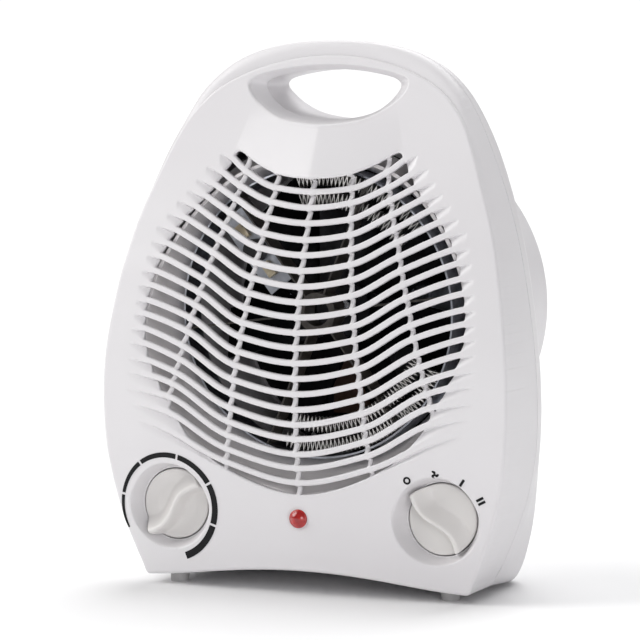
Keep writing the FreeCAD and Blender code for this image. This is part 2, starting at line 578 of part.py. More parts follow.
keep("motor_bearings", tube(6.0, bearing_bore, 44.6, 49.0, 0, AXIS_Z), tube(6.0, bearing_bore, 69.0, 73.6, 0, AXIS_Z))
keep("motor_through_bolts", *[cyl(2.9, 44.4, 46.6, s * 22.0, AXIS_Z).fuse([cyl(1.6, 46.6, 74.0, s * 22.0, AXIS_Z), cyl(2.9, 71.6, 73.6, s * 22.0, AXIS_Z)]) for s in (-1, 1)])
keep("motor_mount_screws", *[cyl(3.0, 68.0, 70.0, x, z).fuse(cyl(1.4, 70.0, 79.0, x, z)) for x, z in MOTOR_POSTS])

# ---- controls -----------------------------------------------------------------------------------------------
FLOOR_BACK = DISH_FLOOR + 2.4


def control(name, s, half, back, blades_at):
    """Control body hung behind a dish floor: box, threaded neck through the floor, bore for the spindle, push-on blades."""
    x = s * KNOB_X
    body = box(x - half, x + half, FLOOR_BACK, back, KNOB_Z - half, KNOB_Z + half).fuse(cyl(5.0, DISH_FLOOR + 0.2, FLOOR_BACK, x, KNOB_Z))
    body = body.cut([cyl(SPINDLE_R + 0.05, DISH_FLOOR - 1, 3.2, x, KNOB_Z)] + [cyl(1.2, FLOOR_BACK - 1, 0.0, x + dx, KNOB_Z) for dx in (-9.0, 9.0)])
    keep(name + "_body", body)
    keep(name + "_terminals", *[box(x + dx - 2.4, x + dx + 2.4, back, back + 6.5, KNOB_Z + dz - 0.4, KNOB_Z + dz + 0.4) for dx, dz in blades_at])
    keep(name + "_screws", *[cyl(2.5, DISH_FLOOR + 0.1, DISH_FLOOR + 1.0, x + dx, KNOB_Z).fuse(cyl(1.2, DISH_FLOOR + 1.0, -1.0, x + dx, KNOB_Z)) for dx in (-9.0, 9.0)])
    keep(name + "_spindle", cyl(SPINDLE_R, -13.0, 2.8, x, KNOB_Z))


control("thermostat", -1, 12.0, 6.0, [(-6.0, -7.0), (6.0, -7.0)])
control("switch", 1, 13.5, 8.0, [(-8.0, 8.0), (0.0, 8.0), (8.0, 8.0), (-8.0, -8.0), (8.0, -8.0)])
keep("bimetal_strip", box(-KNOB_X - 10.0, -KNOB_X + 10.0, 6.0, 7.0, KNOB_Z + 3.0, KNOB_Z + 9.0))


def grip(x, pointer):
    """Wave-shaped finger grip across a knob disc, its pointer end at the given angle."""
    a = math.radians(pointer)
    ux, uz = math.cos(a), math.sin(a)
    px, pz = -uz, ux
    line, width = [], []
    for i in range(17):
        t = -1.0 + 2.0 * i / 16
        along = t * 16.6
        wave = 2.8 * math.sin(math.pi * t * 0.95)
        line.append((along * ux + wave * px, along * uz + wave * pz))
        width.append(2.6 - 0.7 * max(0.0, t))
    left, right = [], []
    for i, (cx, cz) in enumerate(line):
        x0, z0 = line[max(0, i - 1)]
        x1, z1 = line[min(16, i + 1)]
        L = math.hypot(x1 - x0, z1 - z0)
        nx, nz = -(z1 - z0) / L, (x1 - x0) / L
        left.append((x + cx + nx * width[i], KNOB_Z + cz + nz * width[i]))
        right.append((x + cx - nx * width[i], KNOB_Z + cz - nz * width[i]))
    return prism_xz(left + right[::-1], KNOB_FACE - GRIP_RISE, KNOB_FACE + 1.0)


def knob(name, s, pointer):
    x = s * KNOB_X
    disc = cyl(KNOB_R, KNOB_FACE, KNOB_FACE + KNOB_DISC_T, x, KNOB_Z)
    rim = Part.makeCone(KNOB_R - 0.2, KNOB_R + 1.2, GRIP_RISE + 1.0, V(x, KNOB_FACE + 1.0, KNOB_Z), V(0, -1, 0))
    body = disc.fuse(grip(x, pointer).common(rim))
    body = body.cut(cyl(SPINDLE_R, -13.0, KNOB_FACE + KNOB_DISC_T + 1, x, KNOB_Z))
    keep(name, body)


knob("thermostat_knob", -1, 219.0)
knob("switch_knob", 1, 126.0)

# ---- lamp ---------------------------------------------------------------------------------------------------
ball = Part.makeSphere(5.4, V(0, -20.8, LAMP_Z)).common(box(-10, 10, -40, -24.45, LAMP_Z - 10, LAMP_Z + 10))
keep("lamp_lens", ball.fuse(cyl(3.1, -25.0, -19.6, 0, LAMP_Z)))
keep("lamp_body", cyl(4.4, -19.6, -2.0, 0, LAMP_Z))
keep("lamp_leads", cyl(0.5, -2.0, 10.0, -1.8, LAMP_Z), cyl(0.5, -2.0, 10.0, 1.8, LAMP_Z))

# ---- fixings and terminals ----------------------------------------------------------------------------------
keep("casing_screws", *[cyl(3.3, 20.0, 22.6, x, z).fuse(cyl(1.6, -2.0 if z < 100 else 4.0, 20.0, x, z)) for x, z in BOSSES])
keep("terminal_block", box(-26, 16, 43.6, 53.6, 12, 26).cut([cyl(1.8, 40, 50, x, 19.0) for x in (-18, -5, 8)]))
keep("terminal_screws", *[cyl(1.8, 45.0, 50.0, x, 19.0) for x in (-18, -5, 8)])
keep("cord_clamp", box(-71, -41, 44.6, 47.0, 18.6, 25.4).cut([cyl(1.4, 40, 50, x, z) for x, z in CLAMP_POSTS]))
keep("clamp_screws", *[cyl(2.4, 43.0, 44.6, x, z).fuse(cyl(1.2, 44.6, 52.0, x, z)) for x, z in CLAMP_POSTS])

for n in PARTS:
    write(n)
    print(n, len(PARTS[n]), [round(q.Volume) for q in PARTS[n]], all(q.isValid() for q in PARTS[n]))
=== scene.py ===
import bpy
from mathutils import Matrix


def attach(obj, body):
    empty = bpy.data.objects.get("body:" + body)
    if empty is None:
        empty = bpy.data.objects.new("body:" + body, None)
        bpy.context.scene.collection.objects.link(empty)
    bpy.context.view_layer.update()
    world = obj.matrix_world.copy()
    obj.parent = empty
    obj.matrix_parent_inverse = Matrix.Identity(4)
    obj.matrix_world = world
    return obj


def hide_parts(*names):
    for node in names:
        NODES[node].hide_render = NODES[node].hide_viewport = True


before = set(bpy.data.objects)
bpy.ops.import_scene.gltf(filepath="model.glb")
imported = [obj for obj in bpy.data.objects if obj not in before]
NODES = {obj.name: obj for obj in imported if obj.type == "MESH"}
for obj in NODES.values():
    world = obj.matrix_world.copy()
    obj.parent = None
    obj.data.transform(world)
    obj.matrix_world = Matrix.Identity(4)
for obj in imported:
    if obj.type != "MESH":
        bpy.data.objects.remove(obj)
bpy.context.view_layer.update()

import bpy
import math
import numpy as np
from mathutils import Matrix, Vector

Y0 = -27.05      # row y = depth + Y0; depths below are in millimetres behind the design's zero plane
SCENE = bpy.context.scene

# ------------------------------------------------------------------------------------------------------------------
# materials
# ------------------------------------------------------------------------------------------------------------------


def new_material(name, color, rough, metal=0.0, **sockets):
    m = bpy.data.materials.new(name)
    m.use_nodes = True
    nt = m.node_tree
    bsdf = nt.nodes["Principled BSDF"]
    bsdf.inputs["Base Color"].default_value = (*color, 1.0)
    bsdf.inputs["Roughness"].default_value = rough
    bsdf.inputs["Metallic"].default_value = metal
    for k, v in sockets.items():
        bsdf.inputs[k.replace("_", " ")].default_value = v
    m.diffuse_color = (*color, 1.0)
    return m, nt, bsdf


def noise(nt, scale, detail=3.0, rough=0.5, stretch=None):
    coord = nt.nodes.new("ShaderNodeTexCoord")
    tex = nt.nodes.new("ShaderNodeTexNoise")
    tex.inputs["Scale"].default_value = scale
    tex.inputs["Detail"].default_value = detail
    tex.inputs["Roughness"].default_value = rough
    if stretch:
        mp = nt.nodes.new("ShaderNodeMapping")
        mp.inputs["Scale"].default_value = stretch
        nt.links.new(coord.outputs["Object"], mp.inputs["Vector"])
        nt.links.new(mp.outputs["Vector"], tex.inputs["Vector"])
    else:
        nt.links.new(coord.outputs["Object"], tex.inputs["Vector"])
    return tex


def ramp(nt, src, stops):
    r = nt.nodes.new("ShaderNodeValToRGB")
    r.color_ramp.elements[0].position = stops[0][0]
    r.color_ramp.elements[0].color = (*stops[0][1], 1.0)
    r.color_ramp.elements[1].position = stops[1][0]
    r.color_ramp.elements[1].color = (*stops[1][1], 1.0)
    for pos, col in stops[2:]:
        e = r.color_ramp.elements.new(pos)
        e.color = (*col, 1.0)
    nt.links.new(src, r.inputs["Fac"])
    return r


def spread(nt, src, low, high):
    m = nt.nodes.new("ShaderNodeMapRange")
    m.inputs["From Min"].default_value = 0.3
    m.inputs["From Max"].default_value = 0.7
    m.inputs["To Min"].default_value = low
    m.inputs["To Max"].default_value = high
    nt.links.new(src, m.inputs["Value"])
    return m


def bump(nt, bsdf, src, strength, dist, socket="Normal"):
    b = nt.nodes.new("ShaderNodeBump")
    b.inputs["Strength"].default_value = strength
    b.inputs["Distance"].default_value = dist
    nt.links.new(src, b.inputs["Height"])
    nt.links.new(b.outputs["Normal"], bsdf.inputs[socket])
    return b


def plastic(name, c1, c2, rough, grain=1400.0, depth=0.00002, strength=0.18, vary=0.05, spec=0.5):
    """Moulded plastic: slow tone drift, uneven gloss and a fine satin grain."""
    m, nt, bsdf = new_material(name, c1, rough)
    bsdf.inputs["Specular IOR Level"].default_value = spec
    slow = noise(nt, 14.0, 2.0)
    col = ramp(nt, slow.outputs["Fac"], [(0.35, c1), (0.65, c2)])
    nt.links.new(col.outputs["Color"], bsdf.inputs["Base Color"])
    mid = noise(nt, 120.0, 3.0)
    r = spread(nt, mid.outputs["Fac"], rough - vary, rough + vary)
    nt.links.new(r.outputs["Result"], bsdf.inputs["Roughness"])
    fine = noise(nt, grain, 2.0, 0.6)
    bump(nt, bsdf, fine.outputs["Fac"], strength, depth)
    return m


def metal(name, c1, c2, rough, stretch=(1.0, 1.0, 1.0), scale=300.0, vary=0.08, depth=0.00003):
    m, nt, bsdf = new_material(name, c1, rough, 1.0)
    streak = noise(nt, scale, 4.0, 0.6, stretch)
    col = ramp(nt, streak.outputs["Fac"], [(0.3, c1), (0.7, c2)])
    nt.links.new(col.outputs["Color"], bsdf.inputs["Base Color"])
    r = spread(nt, streak.outputs["Fac"], rough - vary, rough + vary)
    nt.links.new(r.outputs["Result"], bsdf.inputs["Roughness"])
    bump(nt, bsdf, streak.outputs["Fac"], 0.25, depth)
    return m


WHITE = plastic("satin_white_plastic", (0.735, 0.722, 0.735), (0.722, 0.705, 0.720), 0.40)
KNOBW = plastic("dial_white_plastic", (0.745, 0.725, 0.710), (0.730, 0.712, 0.695), 0.34, grain=1800.0)
# duct: its own pale plastic, set brighter than the casing white as painted light on the duct's inner walls behind the
# grille
DUCT_WITH_PAINTED_LIGHT = plastic("pale_duct_plastic_with_painted_light", (0.90, 0.87, 0.87), (0.86, 0.83, 0.835), 0.50)
RUBBER = plastic("pale_foot_rubber", (0.46, 0.45, 0.45), (0.38, 0.375, 0.375), 0.58, grain=900.0, depth=0.00006, strength=0.4)
DARK = plastic("dark_moulded_resin", (0.022, 0.022, 0.024), (0.014, 0.014, 0.016), 0.46)
INK = plastic("black_dial_print", (0.007, 0.007, 0.008), (0.011, 0.011, 0.012), 0.60, grain=2600.0, depth=0.00001, spec=0.2)
ZINC = metal("zinc_plated_steel", (0.56, 0.58, 0.63), (0.44, 0.46, 0.51), 0.36)
BRIGHT = metal("bright_drawn_steel", (0.66, 0.67, 0.70), (0.54, 0.55, 0.58), 0.28, stretch=(1.0, 0.05, 1.0), scale=900.0)
BRASS = metal("tinned_brass_strip", (0.62, 0.55, 0.42), (0.50, 0.42, 0.28), 0.30)
SCREEN = plastic("dark_filter_foam", (0.020, 0.020, 0.022), (0.012, 0.012, 0.013), 0.85, grain=1500.0, depth=0.0003, strength=0.8, spec=0.15)
BRONZE = metal("sintered_bronze", (0.45, 0.27, 0.13), (0.34, 0.20, 0.10), 0.5, scale=1800.0, depth=0.00008)
BLADE = metal("fan_blade_black_aluminium", (0.030, 0.030, 0.033), (0.018, 0.018, 0.020), 0.45)
RIBBON = metal("resistance_ribbon_alloy", (0.90, 0.88, 0.86), (0.72, 0.70, 0.68), 0.34, scale=700.0)
LAMIN = metal("stacked_laminations", (0.30, 0.30, 0.32), (0.16, 0.16, 0.17), 0.42, stretch=(0.02, 9.0, 0.02), scale=220.0, depth=0.0001)


def mica_material():
    m, nt, bsdf = new_material("mica_sheet", (0.07, 0.062, 0.055), 0.38)
    flake = noise(nt, 260.0, 6.0, 0.7)
    col = ramp(nt, flake.outputs["Fac"], [(0.30, (0.035, 0.030, 0.026)), (0.70, (0.105, 0.095, 0.085))])
    nt.links.new(col.outputs["Color"], bsdf.inputs["Base Color"])
    r = spread(nt, flake.outputs["Fac"], 0.25, 0.55)
    nt.links.new(r.outputs["Result"], bsdf.inputs["Roughness"])
    bump(nt, bsdf, flake.outputs["Fac"], 0.4, 0.0001)
    return m


def winding_material():
    m, nt, bsdf = new_material("enamelled_winding", (0.45, 0.16, 0.05), 0.35)
    coord = nt.nodes.new("ShaderNodeTexCoord")
    wave = nt.nodes.new("ShaderNodeTexWave")
    wave.bands_direction = "X"
    wave.inputs["Scale"].default_value = 600.0
    wave.inputs["Distortion"].default_value = 1.5
    nt.links.new(coord.outputs["Object"], wave.inputs["Vector"])
    col = ramp(nt, wave.outputs["Fac"], [(0.2, (0.06, 0.026, 0.014)), (0.8, (0.15, 0.066, 0.034))])
    nt.links.new(col.outputs["Color"], bsdf.inputs["Base Color"])
    r = spread(nt, wave.outputs["Fac"], 0.28, 0.42)
    nt.links.new(r.outputs["Result"], bsdf.inputs["Roughness"])
    bump(nt, bsdf, wave.outputs["Fac"], 0.8, 0.0002)
    return m


def lens_material():
    m, nt, bsdf = new_material("red_lamp_lens", (0.42, 0.012, 0.012), 0.12)
    bsdf.inputs["Coat Weight"].default_value = 0.6
    bsdf.inputs["Coat Roughness"].default_value = 0.06
    slow = noise(nt, 420.0, 2.0)
    col = ramp(nt, slow.outputs["Fac"], [(0.30, (0.30, 0.006, 0.008)), (0.70, (0.52, 0.020, 0.016))])
    nt.links.new(col.outputs["Color"], bsdf.inputs["Base Color"])
    r = spread(nt, slow.outputs["Fac"], 0.10, 0.20)
    nt.links.new(r.outputs["Result"], bsdf.inputs["Roughness"])
    coord = nt.nodes.new("ShaderNodeTexCoord")
    cells = nt.nodes.new("ShaderNodeTexVoronoi")
    cells.inputs["Scale"].default_value = 900.0
    nt.links.new(coord.outputs["Object"], cells.inputs["Vector"])
    bump(nt, bsdf, cells.outputs["Distance"], 0.12, 0.0002)
    return m


MICA = mica_material()
WINDING = winding_material()
RED = lens_material()

FINISH = {
    "front_casing": WHITE, "rear_casing": WHITE, "front_feet": RUBBER, "rear_feet": RUBBER, "outlet_duct": DUCT_WITH_PAINTED_LIGHT,
    "duct_screws": ZINC, "heater_frame": ZINC, "mica_former": MICA, "upper_element": RIBBON, "lower_element": RIBBON,
    "cutout_bracket": ZINC, "thermal_cutout": DARK, "cutout_terminals": BRASS, "thermal_fuse": BRIGHT, "fuse_saddle": DARK,
    "fan_impeller": BLADE, "fan_clip": BRIGHT, "motor_shaft": BRIGHT, "motor_rotor": LAMIN, "motor_stator": LAMIN,
    "motor_coil": WINDING, "coil_bobbin": DARK, "motor_front_bracket": ZINC, "motor_rear_bracket": ZINC, "motor_bearings": BRONZE,
    "motor_through_bolts": ZINC, "motor_mount_screws": ZINC, "thermostat_body": DARK, "thermostat_terminals": BRASS,
    "thermostat_screws": ZINC, "thermostat_spindle": BRIGHT, "switch_body": DARK, "switch_terminals": BRASS, "switch_screws": ZINC,
    "switch_spindle": BRIGHT, "bimetal_strip": BRASS, "thermostat_knob": KNOBW, "switch_knob": KNOBW, "lamp_lens": RED,
    "lamp_body": DARK, "lamp_leads": BRASS, "casing_screws": ZINC, "terminal_block": DARK, "terminal_screws": BRASS,
    "cord_clamp": DARK, "clamp_screws": ZINC,
}
for name, obj in NODES.items():
    mat = FINISH.get(name, DARK)
    if not obj.material_slots:
        obj.data.materials.append(mat)
    for s in obj.material_slots:
        s.material = mat

# ------------------------------------------------------------------------------------------------------------------
# shape tables (millimetres)
# ------------------------------------------------------------------------------------------------------------------
AXIS_Z = 124.0
KNOB_X, KNOB_Z = 64.6, 36.3
KNOB_R, KNOB_FACE = 15.8, -14.4
DISH_R, DISH_FLOOR = 16.3, -8.4
BAR_W, RIB_W, GRILLE_T = 2.7, 2.2, 3.4
PART_LOW, PART_TOP = 11.5, 18.0
LAMP_Z = 34.2

CENTRE = [(-15, -22.3), (4, -23.0), (20, -23.8), (34, -24.2), (44, -24.5), (50.3, -25.6), (56.9, -27.0), (63.2, -28.3), (70, -29.2),
          (76.4, -29.7), (83, -29.9), (97, -29.9), (103.5, -29.7), (110, -29.1), (116.8, -28.0), (123.5, -26.9), (130, -25.5),
          (136.8, -24.2), (143.7, -22.6), (150.4, -20.1), (157.1, -17.9), (164.3, -15.5), (171, -12.7), (178, -9.9), (190, -4.9),
          (207.8, 1.9), (234, 11.0), (246, 15.2), (262, 20.8)]
SAG = [(-15, 5.2), (4, 4.9), (15, 4.6), (30, 3.4), (45, 3.3), (60, 4.9), (75, 6.4), (90, 6.5), (105, 7.0), (120, 7.0), (135, 6.8),
       (150, 6.1), (165, 4.3), (180, 2.2), (195, 0.8), (210, 0.3), (262, 0.2)]
EDGE = [(4.5, 77.8), (15, 82.9), (30, 88.7), (45, 93.2), (60, 95.8), (75, 97.1), (90, 97.3), (105, 96.5), (120, 94.7), (135, 92.3),
        (150, 89.2), (165, 85.2), (180, 79.6), (195, 73.9), (207.7, 68.0), (214, 63.6), (221.4, 56.8), (226, 50.2), (230, 42.2),
        (233, 34.5), (236.3, 22.0), (238.2, 10.0), (238.5, 0)]
BAR_MID = [178.0, 171.0, 164.3, 157.1, 150.4, 143.7, 136.8, 130.0, 123.5, 116.8, 110.1, 103.5, 96.7, 89.9, 83.1, 76.4, 70.0, 63.2, 56.9, 50.3]
BAR_IN = [(18.3, 179.7), (19.1, 173.4), (20.0, 166.4), (21.0, 159.7), (22.0, 153.3), (22.8, 146.8), (23.7, 140.1), (24.8, 133.5),
          (25.6, 126.9), (26.5, 120.4), (27.4, 114.3), (28.2, 107.7), (29.3, 101.7), (30.2, 95.2), (30.9, 88.9), (31.7, 82.6),
          (32.4, 76.3), (33.1, 70.3), (34.0, 64.1), (35.0, 58.2)]
BAR_OUT = [(34.0, 186.8), (35.7, 180.2), (37.4, 174.7), (39.0, 168.4), (40.9, 162.3), (42.9, 156.7), (44.6, 150.6), (46.3, 144.7),
           (47.9, 138.7), (49.6, 133.0), (51.2, 127.4), (52.8, 121.4), (54.3, 115.7), (56.1, 109.2), (57.8, 103.4), (59.5, 97.3),
           (61.1, 92.1), (62.9, 86.2), (64.2, 79.6), (64.6, 71.9)]
BAR_END = [(46.9, 195.9), (52.9, 190.0), (57.0, 184.2), (61.0, 179.2), (65.2, 174.6), (69.5, 168.8), (73.4, 163.0), (75.8, 156.2),
           (77.4, 150.0), (79.0, 143.2), (80.0, 136.7), (81.0, 129.7), (81.6, 123.6), (82.3, 117.5), (82.7, 111.1), (83.3, 104.2),
           (84.1, 97.8), (84.6, 90.3), (81.8, 83.6), (78.9, 76.6)]
OPENING = [(0.0, 44.6), (12.0, 46.2), (24.0, 50.0), (36.4, 55.4), (45.0, 60.6), (52.0, 66.6), (58.0, 74.0), (62.6, 81.0), (66.2, 87.4),
           (69.8, 94.0), (72.8, 100.0), (75.4, 107.0), (76.8, 114.0), (77.1, 121.0), (76.4, 129.0), (75.0, 136.4), (73.2, 143.6),
           (71.2, 149.6), (68.2, 155.8), (63.2, 163.4), (58.4, 169.2), (53.4, 174.2), (48.6, 180.0), (44.6, 186.4), (41.4, 192.0),
           (39.0, 196.6), (29.0, 190.0), (17.4, 185.4), (8.0, 184.0), (0.0, 183.8)]
HANDLE_HOLE = [(0.0, 209.6), (10.0, 210.2), (20.0, 212.4), (27.0, 216.6), (31.6, 221.6), (33.4, 225.2), (31.0, 227.8), (26.0, 229.4),
               (14.0, 231.6), (0.0, 232.4)]
HANDLE_RIM = [(0.0, 207.5), (11.0, 208.5), (20.8, 210.2), (30.5, 215.6), (36.6, 221.0), (38.9, 225.6), (37.4, 228.2), (29.6, 230.8), (14.6, 233.4),
              (4.3, 234.0), (0.0, 234.0)]
TIPS = [(38.1, 197.6), (46.9, 195.1), (52.9, 189.1), (57.0, 183.1), (61.0, 178.0), (65.2, 173.7), (69.5, 167.8), (74.0, 162.3), (75.8, 155.1),
        (77.4, 149.1), (79.0, 142.0), (80.0, 135.6), (81.0, 128.4), (81.5, 122.5), (82.3, 116.5), (82.7, 110.1), (83.3, 102.9),
        (84.1, 96.5), (84.6, 89.2), (81.6, 82.6), (78.9, 75.6)]
VISOR = [(0.0, 183.6), (8.0, 183.9), (17.4, 185.2), (28.7, 190.3), (39.3, 196.9), (60.0, 212.0)]
LOWLINE = [(0.0, 44.4), (18.0, 48.2), (36.3, 55.0), (49.2, 61.0), (58.5, 64.7), (67.6, 67.3), (76.6, 69.1), (79.7, 70.1), (100.0, 74.0)]

ZT = np.arange(-60.0, 320.0, 0.25)


def smooth_table(tab, sigma):
    a = np.array(tab, float)
    v = np.interp(ZT, a[:, 0], a[:, 1])
    n = int(4 * sigma / 0.25)
    k = np.exp(-0.5 * (np.arange(-n, n + 1) * 0.25 / sigma) ** 2)
    return np.convolve(np.pad(v, n, "edge"), k / k.sum(), "valid")


C_T, S_T = smooth_table(CENTRE, 3.4), smooth_table(SAG, 4.5)
E_T = np.maximum(60.0, smooth_table(EDGE, 4.0))


def sstep(v, lo, hi):
    t = np.clip((v - lo) / (hi - lo), 0.0, 1.0)
    return t * t * (3 - 2 * t)


def base_face(x, z):
    c, s, e = np.interp(z, ZT, C_T), np.interp(z, ZT, S_T), np.interp(z, ZT, E_T)
    k = lambda v: (v * v + 64.0) ** 0.75 - 64.0 ** 0.75
    return c + s * k(np.abs(x)) / k(e)


def smin(a, b, k):
    h = np.clip(k - np.abs(a - b), 0.0, None) / k
    return np.minimum(a, b) - h * h * k * 0.25


def smax(a, b, k):
    return -smin(-a, -b, k)


def mirror_loop(half):
    return [tuple(p) for p in half] + [(-x, z) for x, z in reversed(half) if x > 1e-6]


def chaikin(loop, n):
    P = np.array(loop, float)
    for _ in range(n):
        Q = np.roll(P, -1, 0)
        P = np.stack([0.75 * P + 0.25 * Q, 0.25 * P + 0.75 * Q], 1).reshape(-1, 2)
    return P


def signed(loop, X, Z):
    """Signed distance to a closed loop, positive inside."""
    P = np.asarray(loop, float)
    d2 = np.full(X.shape, 1e12)
    ins = np.zeros(X.shape, bool)
    for (x0, z0), (x1, z1) in zip(P, np.roll(P, -1, 0)):
        ex, ez = x1 - x0, z1 - z0
        L = ex * ex + ez * ez
        if L < 1e-12:
            continue
        t = np.clip(((X - x0) * ex + (Z - z0) * ez) / L, 0, 1)
        np.minimum(d2, (X - x0 - t * ex) ** 2 + (Z - z0 - t * ez) ** 2, out=d2)
        if abs(z1 - z0) > 1e-12:
            ins ^= ((z0 <= Z) != (z1 <= Z)) & (X < x0 + (Z - z0) / (z1 - z0) * ex)
    return np.where(ins, 1.0, -1.0) * np.sqrt(d2)


def pchip(pts, X):
    pts = np.asarray(pts, float)
    px, pv = pts[:, 0], pts[:, 1]
    h = np.diff(px)
    m = np.diff(pv) / h
    d = np.zeros(len(px))
    for i in range(1, len(px) - 1):
        if m[i - 1] * m[i] > 0:
            w1, w2 = 2 * h[i] + h[i - 1], h[i] + 2 * h[i - 1]
            d[i] = (w1 + w2) / (w1 / m[i - 1] + w2 / m[i])
    d[-1] = m[-1] * 0.6
    i = np.clip(np.searchsorted(px, X, "right") - 1, 0, len(px) - 2)
    t = (X - px[i]) / h[i]
    tt = np.clip(t, 0, 1)
    v = (pv[i] * (1 + 2 * tt) * (1 - tt) ** 2 + d[i] * h[i] * tt * (1 - tt) ** 2 + pv[i + 1] * tt * tt * (3 - 2 * tt)
         - d[i + 1] * h[i] * tt * tt * (1 - tt))
    return np.where(X > px[-1], pv[-1] + d[-1] * (X - px[-1]), v)


def bar_line(k, X):
    return pchip([(0.0, BAR_MID[k]), BAR_IN[k], BAR_OUT[k], BAR_END[k]], np.abs(X))


# ------------------------------------------------------------------------------------------------------------------
# mesh helpers
# ------------------------------------------------------------------------------------------------------------------


def clip_grid(X, Z, D, h):
    """Triangles of a grid where D > 0, cut exactly at D = 0. Returns points (x, z), triangles, the cut edges and, for each cut point, the grid
    interpolation (index a, index b, weight) so that any grid array can be read there."""
    D = D.copy()
    near = np.abs(D) < 0.16 * h
    D[near] = np.where(D[near] >= 0, 0.16 * h, -0.16 * h)
    nx, nz = X.shape
    idx = np.arange(nx * nz).reshape(nx, nz)
    A, B, C, E = idx[:-1, :-1].ravel(), idx[1:, :-1].ravel(), idx[1:, 1:].ravel(), idx[:-1, 1:].ravel()
    tris = np.concatenate([np.stack([A, B, C], 1), np.stack([A, C, E], 1)])
    d = D.ravel()
    ins = d[tris] > 0
    cnt = ins.sum(1)
    full = tris[cnt == 3]
    one, two = tris[cnt == 1], tris[cnt == 2]
    i1 = np.argmax(ins[cnt == 1], 1)
    r = np.arange(len(one))
    a1, b1, c1 = one[r, i1], one[r, (i1 + 1) % 3], one[r, (i1 + 2) % 3]
    i2 = np.argmin(ins[cnt == 2], 1)
    r = np.arange(len(two))
    o2, p2, q2 = two[r, i2], two[r, (i2 + 1) % 3], two[r, (i2 + 2) % 3]
    N = nx * nz
    ed = np.concatenate([np.stack([a1, b1], 1), np.stack([a1, c1], 1), np.stack([p2, o2], 1), np.stack([q2, o2], 1)])
    key = np.minimum(ed[:, 0], ed[:, 1]) * N + np.maximum(ed[:, 0], ed[:, 1])
    uk, inv = np.unique(key, return_inverse=True)
    ea, eb = uk // N, uk % N
    w = d[ea] / (d[ea] - d[eb])
    cut_id = N + inv
    n1, n2 = len(a1), len(o2)
    ab, ac = cut_id[:n1], cut_id[n1:2 * n1]
    po, qo = cut_id[2 * n1:2 * n1 + n2], cut_id[2 * n1 + n2:]
    T = np.concatenate([full, np.stack([a1, ab, ac], 1), np.stack([p2, q2, qo], 1), np.stack([p2, qo, po], 1)])
    cuts = np.concatenate([np.stack([ab, ac], 1), np.stack([qo, po], 1)])
    used = np.unique(T)
    remap = np.full(N + len(uk), -1)
    remap[used] = np.arange(len(used))
    grid_used = used[used < N]
    both = np.concatenate([grid_used, ea]), np.concatenate([grid_used, eb]), np.concatenate([np.zeros(len(grid_used)), w])
    x, z = X.ravel(), Z.ravel()
    pts = np.stack([x[both[0]] * (1 - both[2]) + x[both[1]] * both[2], z[both[0]] * (1 - both[2]) + z[both[1]] * both[2]], 1)
    return pts, remap[T], remap[cuts], both, len(grid_used)


def read(field, both):
    f = field.ravel()
    return f[both[0]] * (1 - both[2]) + f[both[1]] * both[2]


def make(name, verts_mm, faces, mat, body, angle=38.0, replaces=()):
    """A mesh object from (x, depth, z) millimetres."""
    v = np.asarray(verts_mm, float).copy()
    v[:, 1] += Y0
    v *= 0.001
    me = bpy.data.meshes.new(name)
    faces = [np.asarray(f, np.int64) for f in faces if len(f)]
    loops = np.concatenate([f.ravel() for f in faces])
    sizes = np.concatenate([np.full(len(f), f.shape[1]) for f in faces])
    me.vertices.add(len(v))
    me.vertices.foreach_set("co", v.ravel())
    me.loops.add(len(loops))
    me.loops.foreach_set("vertex_index", loops.astype(np.int32))
    me.polygons.add(len(sizes))
    me.polygons.foreach_set("loop_start", np.concatenate([[0], np.cumsum(sizes)[:-1]]).astype(np.int32))
    me.polygons.foreach_set("loop_total", sizes.astype(np.int32))
    me.update(calc_edges=True)
    me.validate(clean_customdata=False)
    me.polygons.foreach_set("use_smooth", np.ones(len(me.polygons), bool))
    me.set_sharp_from_angle(angle=math.radians(angle))
    me.materials.append(mat)
    o = bpy.data.objects.new(name, me)
    SCENE.collection.objects.link(o)
    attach(o, body)
    if replaces:
        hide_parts(*replaces)
    return o


def stitch(edges, row_of, rows):
    """Quads between successive rows of points along a set of cut edges. row_of is not used."""
    out = []
    for r in range(len(rows) - 1):
        a, b = rows[r], rows[r + 1]
        out.append(np.stack([a[edges[:, 1]], a[edges[:, 0]], b[edges[:, 0]], b[edges[:, 1]]], 1))
    return np.concatenate(out) if out else np.zeros((0, 4), int)


# ------------------------------------------------------------------------------------------------------------------
# front casing
# ------------------------------------------------------------------------------------------------------------------
H = 0.55
xs = np.arange(-98.6, 98.6 + H, H)
zs = np.arange(2.0, 241.0 + H, H)
X, Z = np.meshgrid(xs, zs, indexing="ij")
AX = np.abs(X)

lower = [(float(x), 4.3 + 6.3 * max(0.0, 1 - (x / 72.0) ** 2) ** 1.5) for x in range(0, 72, 6)] + [(71.0, 4.3), (74.8, 4.0), (77.6, 3.8), (78.7, 5.2), (80.3, 9.4)]
face_loop = chaikin(mirror_loop(lower + [(x, z) for z, x in EDGE[1:]]), 3)
open_loop = chaikin(mirror_loop(OPENING), 2)
hole_loop = chaikin(mirror_loop(HANDLE_HOLE), 3)
rim_loop = chaikin(mirror_loop(HANDLE_RIM), 3)

d_face = signed(face_loop, X, Z)
d_open = signed(open_loop, X, Z)
d_hole = signed(rim_loop, X, Z)
